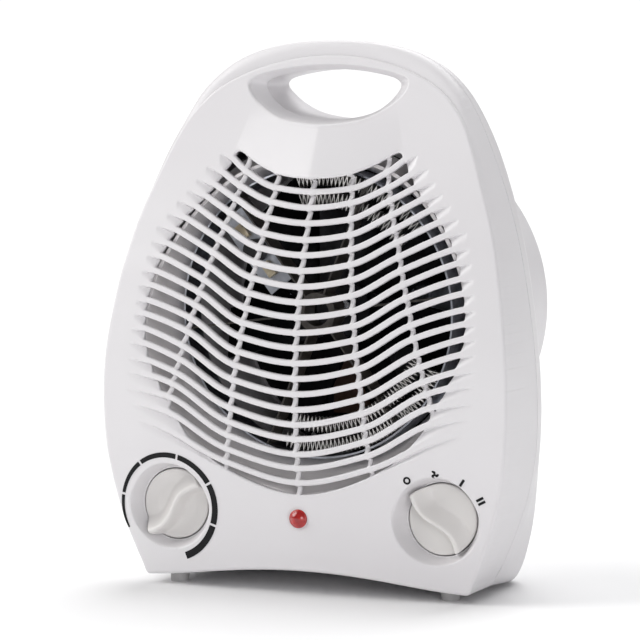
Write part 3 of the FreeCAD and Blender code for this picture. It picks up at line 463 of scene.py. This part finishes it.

# bars: distance outside the nearest bar and rib, joined with the opening into one void field
bars = np.array([bar_line(k, xs) for k in range(20)])
slope = np.gradient(bars, H, axis=1)
cosb = 1.0 / np.sqrt(1 + slope ** 2)
bar_clear = np.full(X.shape, 99.0)
for k in range(20):
    np.minimum(bar_clear, np.abs(Z - bars[k][:, None]) * cosb[k][:, None] - BAR_W / 2, out=bar_clear)
rib_clear = np.abs(X) - RIB_W / 2
for line in ([(16.9, 196.0)] + BAR_IN + [(36.6, 40.0)], [(33.4, 199.0)] + BAR_OUT[:18] + [(64.0, 81.0)]):
    L = np.array(sorted((z, x) for x, z in line))
    rx = np.interp(zs, L[:, 0], L[:, 1])
    rs = 1.0 / np.sqrt(1 + np.gradient(rx, H) ** 2)
    far = (Z > L[-1, 0]) | (Z < L[0, 0])
    rib = np.abs(AX - rx[None, :]) * rs[None, :] - RIB_W / 2
    rib_clear = np.where(far, rib_clear, np.minimum(rib_clear, rib))
void = smin(smin(bar_clear, rib_clear, 0.7), d_open, 0.8)

# the face: base, visor facets, scoops at the ends of the gaps, recessed ribs, dial dishes
F0 = base_face(X, Z)
vz = np.interp(AX, *np.array(VISOR).T)
wide = np.clip(39.6 - 0.30 * (Z - 197.0), 20.0, 60.0)
ridge = np.clip(5.0 - 0.085 * (Z - 184.0), 0.3, 5.0)
soft_x = np.sqrt(AX ** 2 + 0.9 ** 2) - 0.9
tent = ridge * np.clip(1 - soft_x / wide, 0, None) * sstep(Z - vz, -1.5, 1.0) * (1 - sstep(Z, 208.0, 216.0))
F0v = F0 - tent

scoop = np.zeros(X.shape)
for j in range(21):
    up = bars[j - 1] - BAR_W / 2 / cosb[j - 1] if j > 0 else np.interp(np.abs(xs), *np.array(VISOR).T)
    lo = bars[j] + BAR_W / 2 / cosb[j] if j < 20 else np.interp(np.abs(xs), *np.array(LOWLINE).T)
    tx, tz = TIPS[j]
    reach = max(2.0, -float(signed(open_loop, np.array([[tx]]), np.array([[tz]]))[0, 0]))
    span = np.maximum(0.4, up - lo)
    v = (Z - lo[:, None]) / span[:, None]
    u = np.clip(-d_open / (reach + 0.6), 0.0, 1.0)
    u = np.maximum(u, sstep(AX, tx - 1.5, tx + 0.8))
    inside = (v > 0) & (v < 1) & (AX < tx + 0.8)
    edge = sstep((up[:, None] - Z) * np.minimum(cosb[min(j, 19)], 1.0)[:, None], 0.0, 0.75)
    g = 3.0 * (1 - u) ** 0.9 * np.clip(v, 0, 1) ** (0.75 + 1.6 * u) * edge
    scoop = np.where(inside, np.maximum(scoop, g), scoop)
rib_dip = 0.25 * sstep(bar_clear, -0.1, 1.1) * sstep(-rib_clear, -0.6, 0.1) * sstep(d_open, 0.2, 1.6)
F = F0v + scoop + rib_dip
rho = [np.hypot(X - s * KNOB_X, Z - KNOB_Z) for s in (-1, 1)]
for r in rho:
    cone = -14.5 - (r - 17.0) * (2.5 + 1.5 * sstep(Z - KNOB_Z, 0.0, 12.0))
    F = np.where(r < 26.0, smax(F, np.minimum(cone, -13.8), 1.1), F)
lamp_r = np.hypot(X, Z - LAMP_Z)
F = F + 0.35 * np.exp(-((lamp_r - 4.5) / 0.45) ** 2)

R_EDGE, R_BAR, R_KNOB = 1.5, 0.70, 0.30
r_hole = 1.5 - 0.6 * sstep(Z, 218.0, 228.0)
feats = [d_face - R_EDGE, -void - R_BAR, -d_hole - r_hole, rho[0] - DISH_R - R_KNOB, rho[1] - DISH_R - R_KNOB]
D = np.minimum.reduce(feats)
pts, tri, cuts, both, n_grid = clip_grid(X, Z, D, H)
Fv = read(F, both)
verts = [np.stack([pts[:, 0], Fv, pts[:, 1]], 1)]
n_v = len(pts)
faces3 = [tri]
faces4 = []

cid = np.unique(cuts)
vals = np.stack([read(f, both)[cid] for f in feats], 1)
label = np.full(n_v, -1)
label[cid] = np.argmin(vals, 1)
edge_label = np.minimum(label[cuts[:, 0]], label[cuts[:, 1]])

grad_of = {}
for i, f in enumerate((d_face, -void, -d_hole)):
    gx, gz = np.gradient(f, H)
    grad_of[i] = (gx, gz)


def outward(i, ids):
    """Unit direction into the void at cut points, for one feature."""
    if i >= 3:
        s = -1 if i == 3 else 1
        gx, gz = pts[ids, 0] - s * KNOB_X, pts[ids, 1] - KNOB_Z
    else:
        gx, gz = read(grad_of[i][0], both)[ids], read(grad_of[i][1], both)[ids]
    L = np.hypot(gx, gz) + 1e-9
    return -gx / L, -gz / L


def part_depth(z):
    return PART_LOW + (PART_TOP - PART_LOW) * np.clip((z - 196.0) / 48.0, 0, 1)


def add_rows(edges, table):
    """table: list of (x, depth, z) arrays for the unique points of the edges, first row being the points themselves."""
    global n_v
    ids = np.unique(edges)
    rows = [np.full(ids.max() + 1, -1)]
    rows[0][ids] = ids
    for x, v, z in table:
        new = np.full(ids.max() + 1, -1)
        new[ids] = n_v + np.arange(len(ids))
        verts.append(np.stack([x, v, z], 1))
        n_v += len(ids)
        rows.append(new)
    faces4.append(stitch(edges, None, rows))
    return rows


# grille walls
e = cuts[edge_label == 1]
ids = np.unique(e)
nx_, nz_ = outward(1, ids)
px_, pz_, pf = pts[ids, 0], pts[ids, 1], Fv[ids]
back = read(F0v, both)[ids] + GRILLE_T
total = np.maximum(0.8, back - pf)
rv = np.minimum(R_BAR * 1.15, 0.36 * total)
table = []
for a in (30, 60, 90):
    a = math.radians(a)
    table.append((px_ + nx_ * R_BAR * math.sin(a), pf + rv * (1 - math.cos(a)), pz_ + nz_ * R_BAR * math.sin(a)))
table.append((px_ + nx_ * R_BAR, back - 0.22 * total, pz_ + nz_ * R_BAR))
table.append((px_ + nx_ * R_BAR * 0.45, back - 0.02, pz_ + nz_ * R_BAR * 0.45))
rows = add_rows(e, table)
last = rows[-1]
# back sheet of the grille
keep_tri = (read(d_open, both) > -1.4)[tri].all(1)
bt = tri[keep_tri]
bid = np.unique(bt)
bmap = np.full(len(pts), -1)
bmap[bid] = n_v + np.arange(len(bid))
verts.append(np.stack([pts[bid, 0], read(F0v, both)[bid] + GRILLE_T, pts[bid, 1]], 1))
n_v += len(bid)
faces3.append(bmap[bt][:, ::-1])
ok = (bmap[e[:, 0]] >= 0) & (bmap[e[:, 1]] >= 0)
eb = e[ok]
faces4.append(np.stack([last[eb[:, 1]], last[eb[:, 0]], bmap[eb[:, 0]], bmap[eb[:, 1]]], 1))

# handle tunnel
e = cuts[edge_label == 2]
ids = np.unique(e)
nx_, nz_ = outward(2, ids)
px_, pz_, pf = pts[ids, 0], pts[ids, 1], Fv[ids]
rh = read(r_hole, both)[ids]
wx, wz = px_ + nx_ * rh, pz_ + nz_ * rh
table = []
for a in (18, 36, 54, 72, 90):
    a = math.radians(a)
    table.append((px_ + nx_ * rh * math.sin(a), pf + rh * 1.1 * (1 - math.cos(a)), pz_ + nz_ * rh * math.sin(a)))
# the wall leans in from the rim to the throat, which the rear casing carries on
T0, T1 = hole_loop, np.roll(hole_loop, -1, 0)
best = np.full(len(ids), 1e12)
qx, qz = wx.copy(), wz.copy()
for (x0, z0), (x1, z1) in zip(T0, T1):
    ex, ez = x1 - x0, z1 - z0
    L = ex * ex + ez * ez
    if L < 1e-12:
        continue
    t = np.clip(((wx - x0) * ex + (wz - z0) * ez) / L, 0, 1)
    cx_, cz_ = x0 + t * ex, z0 + t * ez
    d2 = (wx - cx_) ** 2 + (wz - cz_) ** 2
    near = d2 < best
    best = np.where(near, d2, best)
    qx, qz = np.where(near, cx_, qx), np.where(near, cz_, qz)
pv = part_depth(qz)
v0 = pf + rh * 1.1
low_v = np.maximum(v0 + 0.4, pv - 0.5)
for t in (0.12, 0.3, 0.5, 0.7, 0.88, 1.0):
    table.append((wx + (qx - wx) * t, v0 + (low_v - v0) * t, wz + (qz - wz) * t))
table.append((qx - nx_ * 0.5, low_v + 0.25, qz - nz_ * 0.5))
table.append((qx - nx_ * 0.5, np.maximum(pv, low_v) + 0.3, qz - nz_ * 0.5))
add_rows(e, table)

# dial wells
for i, s in ((3, -1), (4, 1)):
    e = cuts[edge_label == i]
    ids = np.unique(e)
    nx_, nz_ = outward(i, ids)
    px_, pz_, pf = pts[ids, 0], pts[ids, 1], Fv[ids]
    table = []
    for a in (30, 60, 90):
        a = math.radians(a)
        table.append((px_ + nx_ * R_KNOB * math.sin(a), pf + R_KNOB * (1 - math.cos(a)), pz_ + nz_ * R_KNOB * math.sin(a)))
    for rr, vv in ((R_KNOB, DISH_FLOOR - 0.4), (R_KNOB + 0.4, DISH_FLOOR), (5.6, DISH_FLOOR), (DISH_R + R_KNOB - 5.4, DISH_FLOOR)):
        table.append((px_ + nx_ * rr, np.full(len(ids), vv), pz_ + nz_ * rr))
    add_rows(e, table)

# outer wall down to the parting line, met by the rear casing's own edge
rc = np.array([v.co[:] for v in NODES["rear_casing"].data.vertices]) * 1000.0
rc[:, 1] -= Y0
on = np.abs(rc[:, 1] - part_depth(rc[:, 2])) < 0.06
ring = rc[on]
hull_in = sorted(set((round(float(p[0]), 3), round(float(p[2]), 3)) for p in ring))


def half_hull(points, sign):
    out = []
    for p in points:
        while len(out) > 1 and sign * ((out[-1][0] - out[-2][0]) * (p[1] - out[-2][1]) - (out[-1][1] - out[-2][1]) * (p[0] - out[-2][0])) <= 0:
            out.pop()
        out.append(p)
    return out


hull = half_hull(hull_in, 1)[:-1] + half_hull(hull_in[::-1], 1)[:-1]
hull = [p for p in hull if p[1] > 12.0]
hull.sort(key=lambda p: math.atan2(p[0], -(p[1] - 122.0)))      # from the left foot over the top to the right foot
foot = [(72.0 * t, 3.2 + 5.0 * (1 - t * t) ** 1.5) for t in np.linspace(-1, 1, 25)]
corner = [(76.2, 4.0), (78.2, 5.9), (79.6, 7.6), (80.8, 9.9)]
right_side = [p for p in hull if p[0] > 0]
left_side = [p for p in hull if p[0] <= 0]
right_side.sort(key=lambda p: math.atan2(p[0], -(p[1] - 122.0)))
left_side.sort(key=lambda p: math.atan2(p[0], -(p[1] - 122.0)))
part_loop = np.array(foot + corner + right_side + left_side + [(-x, z) for x, z in corner[::-1]])
print("parting loop", len(part_loop), part_loop.min(0), part_loop.max(0))

e = cuts[edge_label == 0]
ids = np.unique(e)
nx_, nz_ = outward(0, ids)
px_, pz_, pf = pts[ids, 0], pts[ids, 1], Fv[ids]
ex_, ez_ = px_ + nx_ * R_EDGE, pz_ + nz_ * R_EDGE
hit = np.full(len(ids), 1e9)
P, Q = part_loop, np.roll(part_loop, -1, 0)
for (x0, z0), (x1, z1) in zip(P, Q):
    sx, sz = x1 - x0, z1 - z0
    det = nx_ * (-sz) + sx * nz_
    det = np.where(np.abs(det) < 1e-9, 1e-9, det)
    t = ((x0 - px_) * (-sz) + sx * (z0 - pz_)) / det
    q = (nx_ * (z0 - pz_) - nz_ * (x0 - px_)) / det
    okk = (t > 0) & (q >= -0.001) & (q <= 1.001)
    hit = np.where(okk & (t < hit), t, hit)
hit = np.where(hit > 60.0, R_EDGE + 1.0, hit)
drop = np.maximum(0.05, hit - R_EDGE)
tx_, tz_ = px_ + nx_ * (R_EDGE + drop), pz_ + nz_ * (R_EDGE + drop)
pv = part_depth(tz_)
table = []
for a in (18, 36, 54, 72, 90):
    a = math.radians(a)
    table.append((px_ + nx_ * R_EDGE * math.sin(a), pf + R_EDGE * (1 - math.cos(a)), pz_ + nz_ * R_EDGE * math.sin(a)))
top_w = sstep(drop, 2.6, 5.5)
start = pf + R_EDGE
for t in np.linspace(0, 1, 15)[1:]:
    straight = t
    quarter = math.sqrt(1 - (1 - t) ** 2.2)
    s_ = straight * (1 - top_w) + quarter * top_w
    tv = np.where(t < 1, t, 1.0)
    v_ = start + (pv - 0.55 - start) * tv
    o_ = R_EDGE + drop * s_
    table.append((px_ + nx_ * o_, v_, pz_ + nz_ * o_))
o_ = R_EDGE + drop - 0.45
table.append((px_ + nx_ * o_, pv - 0.28, pz_ + nz_ * o_))
table.append((px_ + nx_ * o_, pv + 0.05, pz_ + nz_ * o_))
add_rows(e, table)

front = make("front_shell", np.concatenate(verts), [np.concatenate(faces3), np.concatenate(faces4)], WHITE, "housing",
             angle=42.0, replaces=("front_casing",))


def face_at(x, z):
    """Depth of the finished face at any point, read off the grid."""
    x, z = np.atleast_1d(x).astype(float), np.atleast_1d(z).astype(float)
    i = np.clip((x - xs[0]) / H, 0, len(xs) - 2)
    k = np.clip((z - zs[0]) / H, 0, len(zs) - 2)
    i0, k0 = i.astype(int), k.astype(int)
    a, b = i - i0, k - k0
    return (F[i0, k0] * (1 - a) * (1 - b) + F[i0 + 1, k0] * a * (1 - b) + F[i0, k0 + 1] * (1 - a) * b + F[i0 + 1, k0 + 1] * a * b)


# ------------------------------------------------------------------------------------------------------------------
# printed scale and marks
# ------------------------------------------------------------------------------------------------------------------


class Sheet:
    """Thin printed shapes lying on the face."""

    def __init__(self):
        self.v, self.f = [], []

    def strip(self, left, right):
        n = len(self.v)
        for (ax, az), (bx, bz) in zip(left, right):
            for t in (0.0, 0.5, 1.0):
                self.v.append((ax + (bx - ax) * t, az + (bz - az) * t))
        for i in range(len(left) - 1):
            for t in range(2):
                a = n + i * 3 + t
                self.f.append((a, a + 1, a + 4, a + 3))

    def arc(self, cx, cz, a0, a1, inner, outer, step=1.5):
        n = max(2, int(abs(a1 - a0) / step))
        L, R = [], []
        for i in range(n + 1):
            a = a0 + (a1 - a0) * i / n
            c, s = math.cos(math.radians(a)), math.sin(math.radians(a))
            ri, ro = inner(a), outer(a)
            L.append((cx + ri * c, cz + ri * s))
            R.append((cx + ro * c, cz + ro * s))
        self.strip(L, R)

    def stroke(self, cx, cz, ang, length, width, n=11):
        c, s = math.cos(math.radians(ang)), math.sin(math.radians(ang))
        L = [(cx + c * t - s * width / 2, cz + s * t + c * width / 2) for t in np.linspace(-length / 2, length / 2, n)]
        R = [(cx + c * t + s * width / 2, cz + s * t - c * width / 2) for t in np.linspace(-length / 2, length / 2, n)]
        self.strip(L, R)

    def build(self, name):
        v = np.array(self.v)
        d = face_at(v[:, 0], v[:, 1]) - 0.14
        return make(name, np.stack([v[:, 0], d, v[:, 1]], 1), [np.array(self.f)], INK, "housing")


scale = Sheet()
marks_at = [207.7, 169.0, 125.6, 76.7, 29.0, -17.8, -70.0]


def weight(a):
    return 0.9 + 2.4 * max(0.0, (207.7 - a) / 277.7) ** 0.6


for i, (a0, a1) in enumerate(zip(marks_at, marks_at[1:])):
    gap = 1.25
    b0 = a0 - (gap if i else 0)
    b1 = a1 + (gap if i < 5 else 0)
    scale.arc(-KNOB_X, KNOB_Z - 0.3, b0, b1, lambda a: 23.5 - weight(a) * 0.5, lambda a: 23.5 + weight(a) * 0.5)
scale.build("thermostat_scale")

marks = Sheet()
marks.arc(51.9, 53.9, 0, 360, lambda a: 0.85, lambda a: 1.75, 12)
cx, cz = 64.7, 57.1
marks.arc(cx, cz, 0, 360, lambda a: 0.05, lambda a: 0.62, 30)
for k in range(3):
    a = 90.0 + 120.0 * k
    L, R = [], []
    for t in np.linspace(0, 1, 7):
        rr2 = 0.5 + 1.5 * t
        w = 1.45 * math.sin(math.pi * min(1.0, 0.18 + 0.72 * t))
        bend = math.radians(a + 34.0 * t)
        c, s = math.cos(bend), math.sin(bend)
        L.append((cx + rr2 * c - s * w * 0.5, cz + rr2 * s + c * w * 0.5))
        R.append((cx + rr2 * c + s * w * 0.5, cz + rr2 * s - c * w * 0.5))
    marks.strip(L, R)
marks.stroke(76.9, 54.0, 55.5, 3.5, 1.2)
for off in (-0.9, 0.9):
    a = math.radians(28.0)
    marks.stroke(85.1 - math.sin(a) * off, 46.3 + math.cos(a) * off, 28.0, 3.6, 1.15)
marks.build("switch_marks")

# ------------------------------------------------------------------------------------------------------------------
# dials
# ------------------------------------------------------------------------------------------------------------------


def dial(name, s, pointer, body, node):
    h = 0.3
    g = np.arange(-17.4, 17.4 + h, h)
    A, B = np.meshgrid(g, g, indexing="ij")
    r = np.hypot(A, B)
    crest = 1.9 + 2.8 * np.sin(0.95 * math.pi * A / 16.6)
    lean = 1.0 / np.sqrt(1 + (2.8 * 0.95 * math.pi / 16.6 * np.cos(0.95 * math.pi * A / 16.6)) ** 2)
    q = (B - crest) * lean
    top = 7.4 - 1.9 * (1 - sstep(A, -17.0, -2.0))
    narrow = 1 - sstep(q, 0.8, 2.6)
    wide_ = np.clip(1 + (q + 0.8) / 5.6, 0, 1) ** 1.35
    hgt = top * np.where(q > 0, narrow, np.where(q > -0.8, 1.0, wide_))
    k = np.exp(-0.5 * (np.arange(-5, 6) * h / 0.42) ** 2)
    k /= k.sum()
    pad = np.pad(hgt, 5, "edge")
    pad = np.apply_along_axis(lambda m: np.convolve(m, k, "valid"), 0, pad)
    hgt = np.apply_along_axis(lambda m: np.convolve(m, k, "valid"), 1, pad)
    dish = 0.5 * (1 - sstep(r, 9.0, 15.2))
    depth = KNOB_FACE + dish - hgt
    re = 0.7
    Dk = KNOB_R - re - r
    p, t3, cut, bo, _ = clip_grid(A, B, Dk, h)
    dv, hv = read(depth, bo), read(hgt, bo)
    push = lambda rr2, hh: 1.0 + 0.055 * (hh / 7.4) * sstep(rr2, 9.0, 15.7)
    pr = np.hypot(p[:, 0], p[:, 1])
    f = push(pr, hv)
    V_ = [np.stack([p[:, 0] * f, dv, p[:, 1] * f], 1)]
    n = len(p)
    ids = np.unique(cut)
    ux, uz = p[ids, 0] / pr[ids], p[ids, 1] / pr[ids]
    rows = [np.full(ids.max() + 1, -1)]
    rows[0][ids] = ids
    rim0 = pr[ids] * f[ids]
    steps = [(re * math.sin(math.radians(a)), re * (1 - math.cos(math.radians(a)))) for a in (22, 45, 67, 90)]
    prof = [(rim0 + o, dv[ids] + d_) for o, d_ in steps]
    for w in (0.34, 0.67, 1.0):
        prof.append((rim0 + re + (KNOB_R - rim0 - re) * w, dv[ids] + re + (KNOB_FACE + 1.0 - dv[ids] - re).clip(0.02) * w))
    prof.append((np.full(len(ids), KNOB_R), np.full(len(ids), KNOB_FACE + 4.6)))
    prof.append((np.full(len(ids), KNOB_R - 0.4), np.full(len(ids), KNOB_FACE + 5.0)))
    prof.append((np.full(len(ids), 4.0), np.full(len(ids), KNOB_FACE + 5.0)))
    for rr2, dd in prof:
        new = np.full(ids.max() + 1, -1)
        new[ids] = n + np.arange(len(ids))
        V_.append(np.stack([ux * rr2, dd, uz * rr2], 1))
        n += len(ids)
        rows.append(new)
    V_ = np.concatenate(V_)
    a = math.radians(pointer)
    wx_ = s * KNOB_X + V_[:, 0] * math.cos(a) - V_[:, 2] * math.sin(a)
    wz_ = KNOB_Z + V_[:, 0] * math.sin(a) + V_[:, 2] * math.cos(a)
    return make(name, np.stack([wx_, V_[:, 1], wz_], 1), [t3, stitch(cut, None, rows)], KNOBW, body, angle=50.0, replaces=(node,))


dial("thermostat_dial_cap", -1, 219.0, "thermostat_dial", "thermostat_knob")
dial("switch_dial_cap", 1, 126.0, "switch_dial", "switch_knob")

# ------------------------------------------------------------------------------------------------------------------
# lamp lens
# ------------------------------------------------------------------------------------------------------------------
fv = float(face_at(0, LAMP_Z)[0])
prof = [(0.0, fv - 2.25), (0.6, fv - 2.23), (1.2, fv - 2.12), (1.8, fv - 1.92), (2.4, fv - 1.62), (2.9, fv - 1.27), (3.35, fv - 0.85), (3.62, fv - 0.5),
        (3.74, fv - 0.42), (4.02, fv - 0.40), (4.16, fv - 0.28), (4.2, fv - 0.05), (4.2, fv + 0.6)]
seg = 64
LV, LF = [(0.0, prof[0][1], LAMP_Z)], []
for r_, v_ in prof[1:]:
    for i in range(seg):
        a = 2 * math.pi * i / seg
        LV.append((r_ * math.cos(a), v_, LAMP_Z + r_ * math.sin(a)))
quads = []
fan3 = [(0, 1 + i, 1 + (i + 1) % seg) for i in range(seg)]
for k in range(len(prof) - 2):
    for i in range(seg):
        a, b = 1 + k * seg + i, 1 + k * seg + (i + 1) % seg
        quads.append((a, a + seg, b + seg, b))
make("lamp_dome", LV, [np.array(fan3), np.array(quads)], RED, "housing", angle=40.0, replaces=("lamp_lens",))

# ------------------------------------------------------------------------------------------------------------------
# dust screen lying inside the rear grille, with room for the motor posts
# ------------------------------------------------------------------------------------------------------------------
g1 = np.arange(-76.0, 76.1, 2.0)
GX, GZ = np.meshgrid(g1, g1, indexing="ij")
GR = np.hypot(GX, GZ)
GD = np.minimum.reduce([74.4 - GR, np.hypot(GX - 40.0, GZ) - 5.4, np.hypot(GX + 40.0, GZ) - 5.4])
sp, st, sc, sb, _ = clip_grid(GX, GZ, GD, 2.0)
lay = 80.2 + 0.16 * np.sin(sp[:, 0] * 0.8) * np.sin(sp[:, 1] * 0.8)
SV = np.concatenate([np.stack([sp[:, 0], lay - 0.4, sp[:, 1] + AXIS_Z], 1), np.stack([sp[:, 0], lay + 0.4, sp[:, 1] + AXIS_Z], 1)])
walls = np.stack([sc[:, 1], sc[:, 0], sc[:, 0] + len(sp), sc[:, 1] + len(sp)], 1)
make("intake_screen", SV, [np.concatenate([st, st[:, ::-1] + len(sp)]), walls], SCREEN, "housing", angle=50.0)

# ------------------------------------------------------------------------------------------------------------------
# shading of the frame's own pieces
# ------------------------------------------------------------------------------------------------------------------
for name, obj in NODES.items():
    me = obj.data
    me.polygons.foreach_set("use_smooth", np.ones(len(me.polygons), bool))
    me.set_sharp_from_angle(angle=math.radians(28.0))

# ------------------------------------------------------------------------------------------------------------------
# floor, light, camera
# ------------------------------------------------------------------------------------------------------------------
floor_mat, nt, bsdf = new_material("studio_floor", (0.93, 0.93, 0.935), 0.6)
slow = noise(nt, 2.0, 2.0)
col = ramp(nt, slow.outputs["Fac"], [(0.3, (0.925, 0.925, 0.93)), (0.7, (0.935, 0.935, 0.94))])
nt.links.new(col.outputs["Color"], bsdf.inputs["Base Color"])
bsdf.inputs["Specular IOR Level"].default_value = 0.1
me = bpy.data.meshes.new("studio_floor")
me.from_pydata([(-40, -40, 0), (40, -40, 0), (40, 40, 0), (-40, 40, 0)], [], [(0, 1, 2, 3)])
me.materials.append(floor_mat)
floor = bpy.data.objects.new("studio_floor", me)
SCENE.collection.objects.link(floor)

world = bpy.data.worlds.new("studio_world")
SCENE.world = world
world.use_nodes = True
wnt = world.node_tree
bg = wnt.nodes["Background"]
bg.inputs["Color"].default_value = (1.0, 1.0, 1.0, 1.0)
bg.inputs["Strength"].default_value = 0.22
seen = wnt.nodes.new("ShaderNodeBackground")
seen.inputs["Color"].default_value = (1.0, 1.0, 1.0, 1.0)
seen.inputs["Strength"].default_value = 1.05
path = wnt.nodes.new("ShaderNodeLightPath")
mixer = wnt.nodes.new("ShaderNodeMixShader")
wnt.links.new(path.outputs["Is Camera Ray"], mixer.inputs["Fac"])
wnt.links.new(bg.outputs["Background"], mixer.inputs[1])
wnt.links.new(seen.outputs["Background"], mixer.inputs[2])
wnt.links.new(mixer.outputs["Shader"], wnt.nodes["World Output"].inputs["Surface"])


def area(name, where, aim, size, power, color=(1, 1, 1), size_y=None):
    L = bpy.data.lights.new(name, "AREA")
    L.energy = power
    L.color = color
    L.size = size
    if size_y:
        L.shape = "RECTANGLE"
        L.size_y = size_y
    o = bpy.data.objects.new(name, L)
    o.location = where
    d = Vector(aim) - Vector(where)
    o.rotation_mode = "QUATERNION"
    o.rotation_quaternion = d.to_track_quat("-Z", "Y")
    SCENE.collection.objects.link(o)
    return o


def sun(name, azimuth, elevation, strength, angle, color=(1, 1, 1)):
    """A soft sun standing at an azimuth (0 in front of the face, positive to the right) and an elevation."""
    L = bpy.data.lights.new(name, "SUN")
    L.energy = strength
    L.angle = math.radians(angle)
    L.color = color
    o = bpy.data.objects.new(name, L)
    a, e = math.radians(azimuth), math.radians(elevation)
    d = Vector((math.sin(a) * math.cos(e), -math.cos(a) * math.cos(e), math.sin(e)))
    o.location = d * 3.0
    o.rotation_mode = "QUATERNION"
    o.rotation_quaternion = d.to_track_quat("Z", "Y")
    SCENE.collection.objects.link(o)
    return o


sun("key_left", -68.0, 35.0, 2.05, 45.0, (1.0, 0.995, 0.985))
sun("top_soft", 180.0, 62.0, 2.35, 50.0)
sun("fill_right", 40.0, 8.0, 0.82, 30.0, (0.98, 0.975, 1.0))

cam_data = bpy.data.cameras.new("camera")
cam = bpy.data.objects.new("camera", cam_data)
SCENE.collection.objects.link(cam)
cam_data.sensor_width = 36.0
cam_data.lens = 174.375
az, el = math.radians(23.5), math.radians(4.5)
away = Vector((math.sin(az) * math.cos(el), -math.cos(az) * math.cos(el), math.sin(el)))
target = Vector((0.0, Y0 / 1000.0, 0.1205))
cam.location = target + away * 1.38393
right = Vector((math.cos(az), math.sin(az), 0.0))
upv = away.cross(right)
cam.rotation_mode = "QUATERNION"
cam.rotation_quaternion = Matrix((right, upv, away)).transposed().to_quaternion()
cam_data.clip_start, cam_data.clip_end = 0.05, 30.0
SCENE.camera = cam

SCENE.view_settings.view_transform = "Standard"
SCENE.view_settings.look = "None"
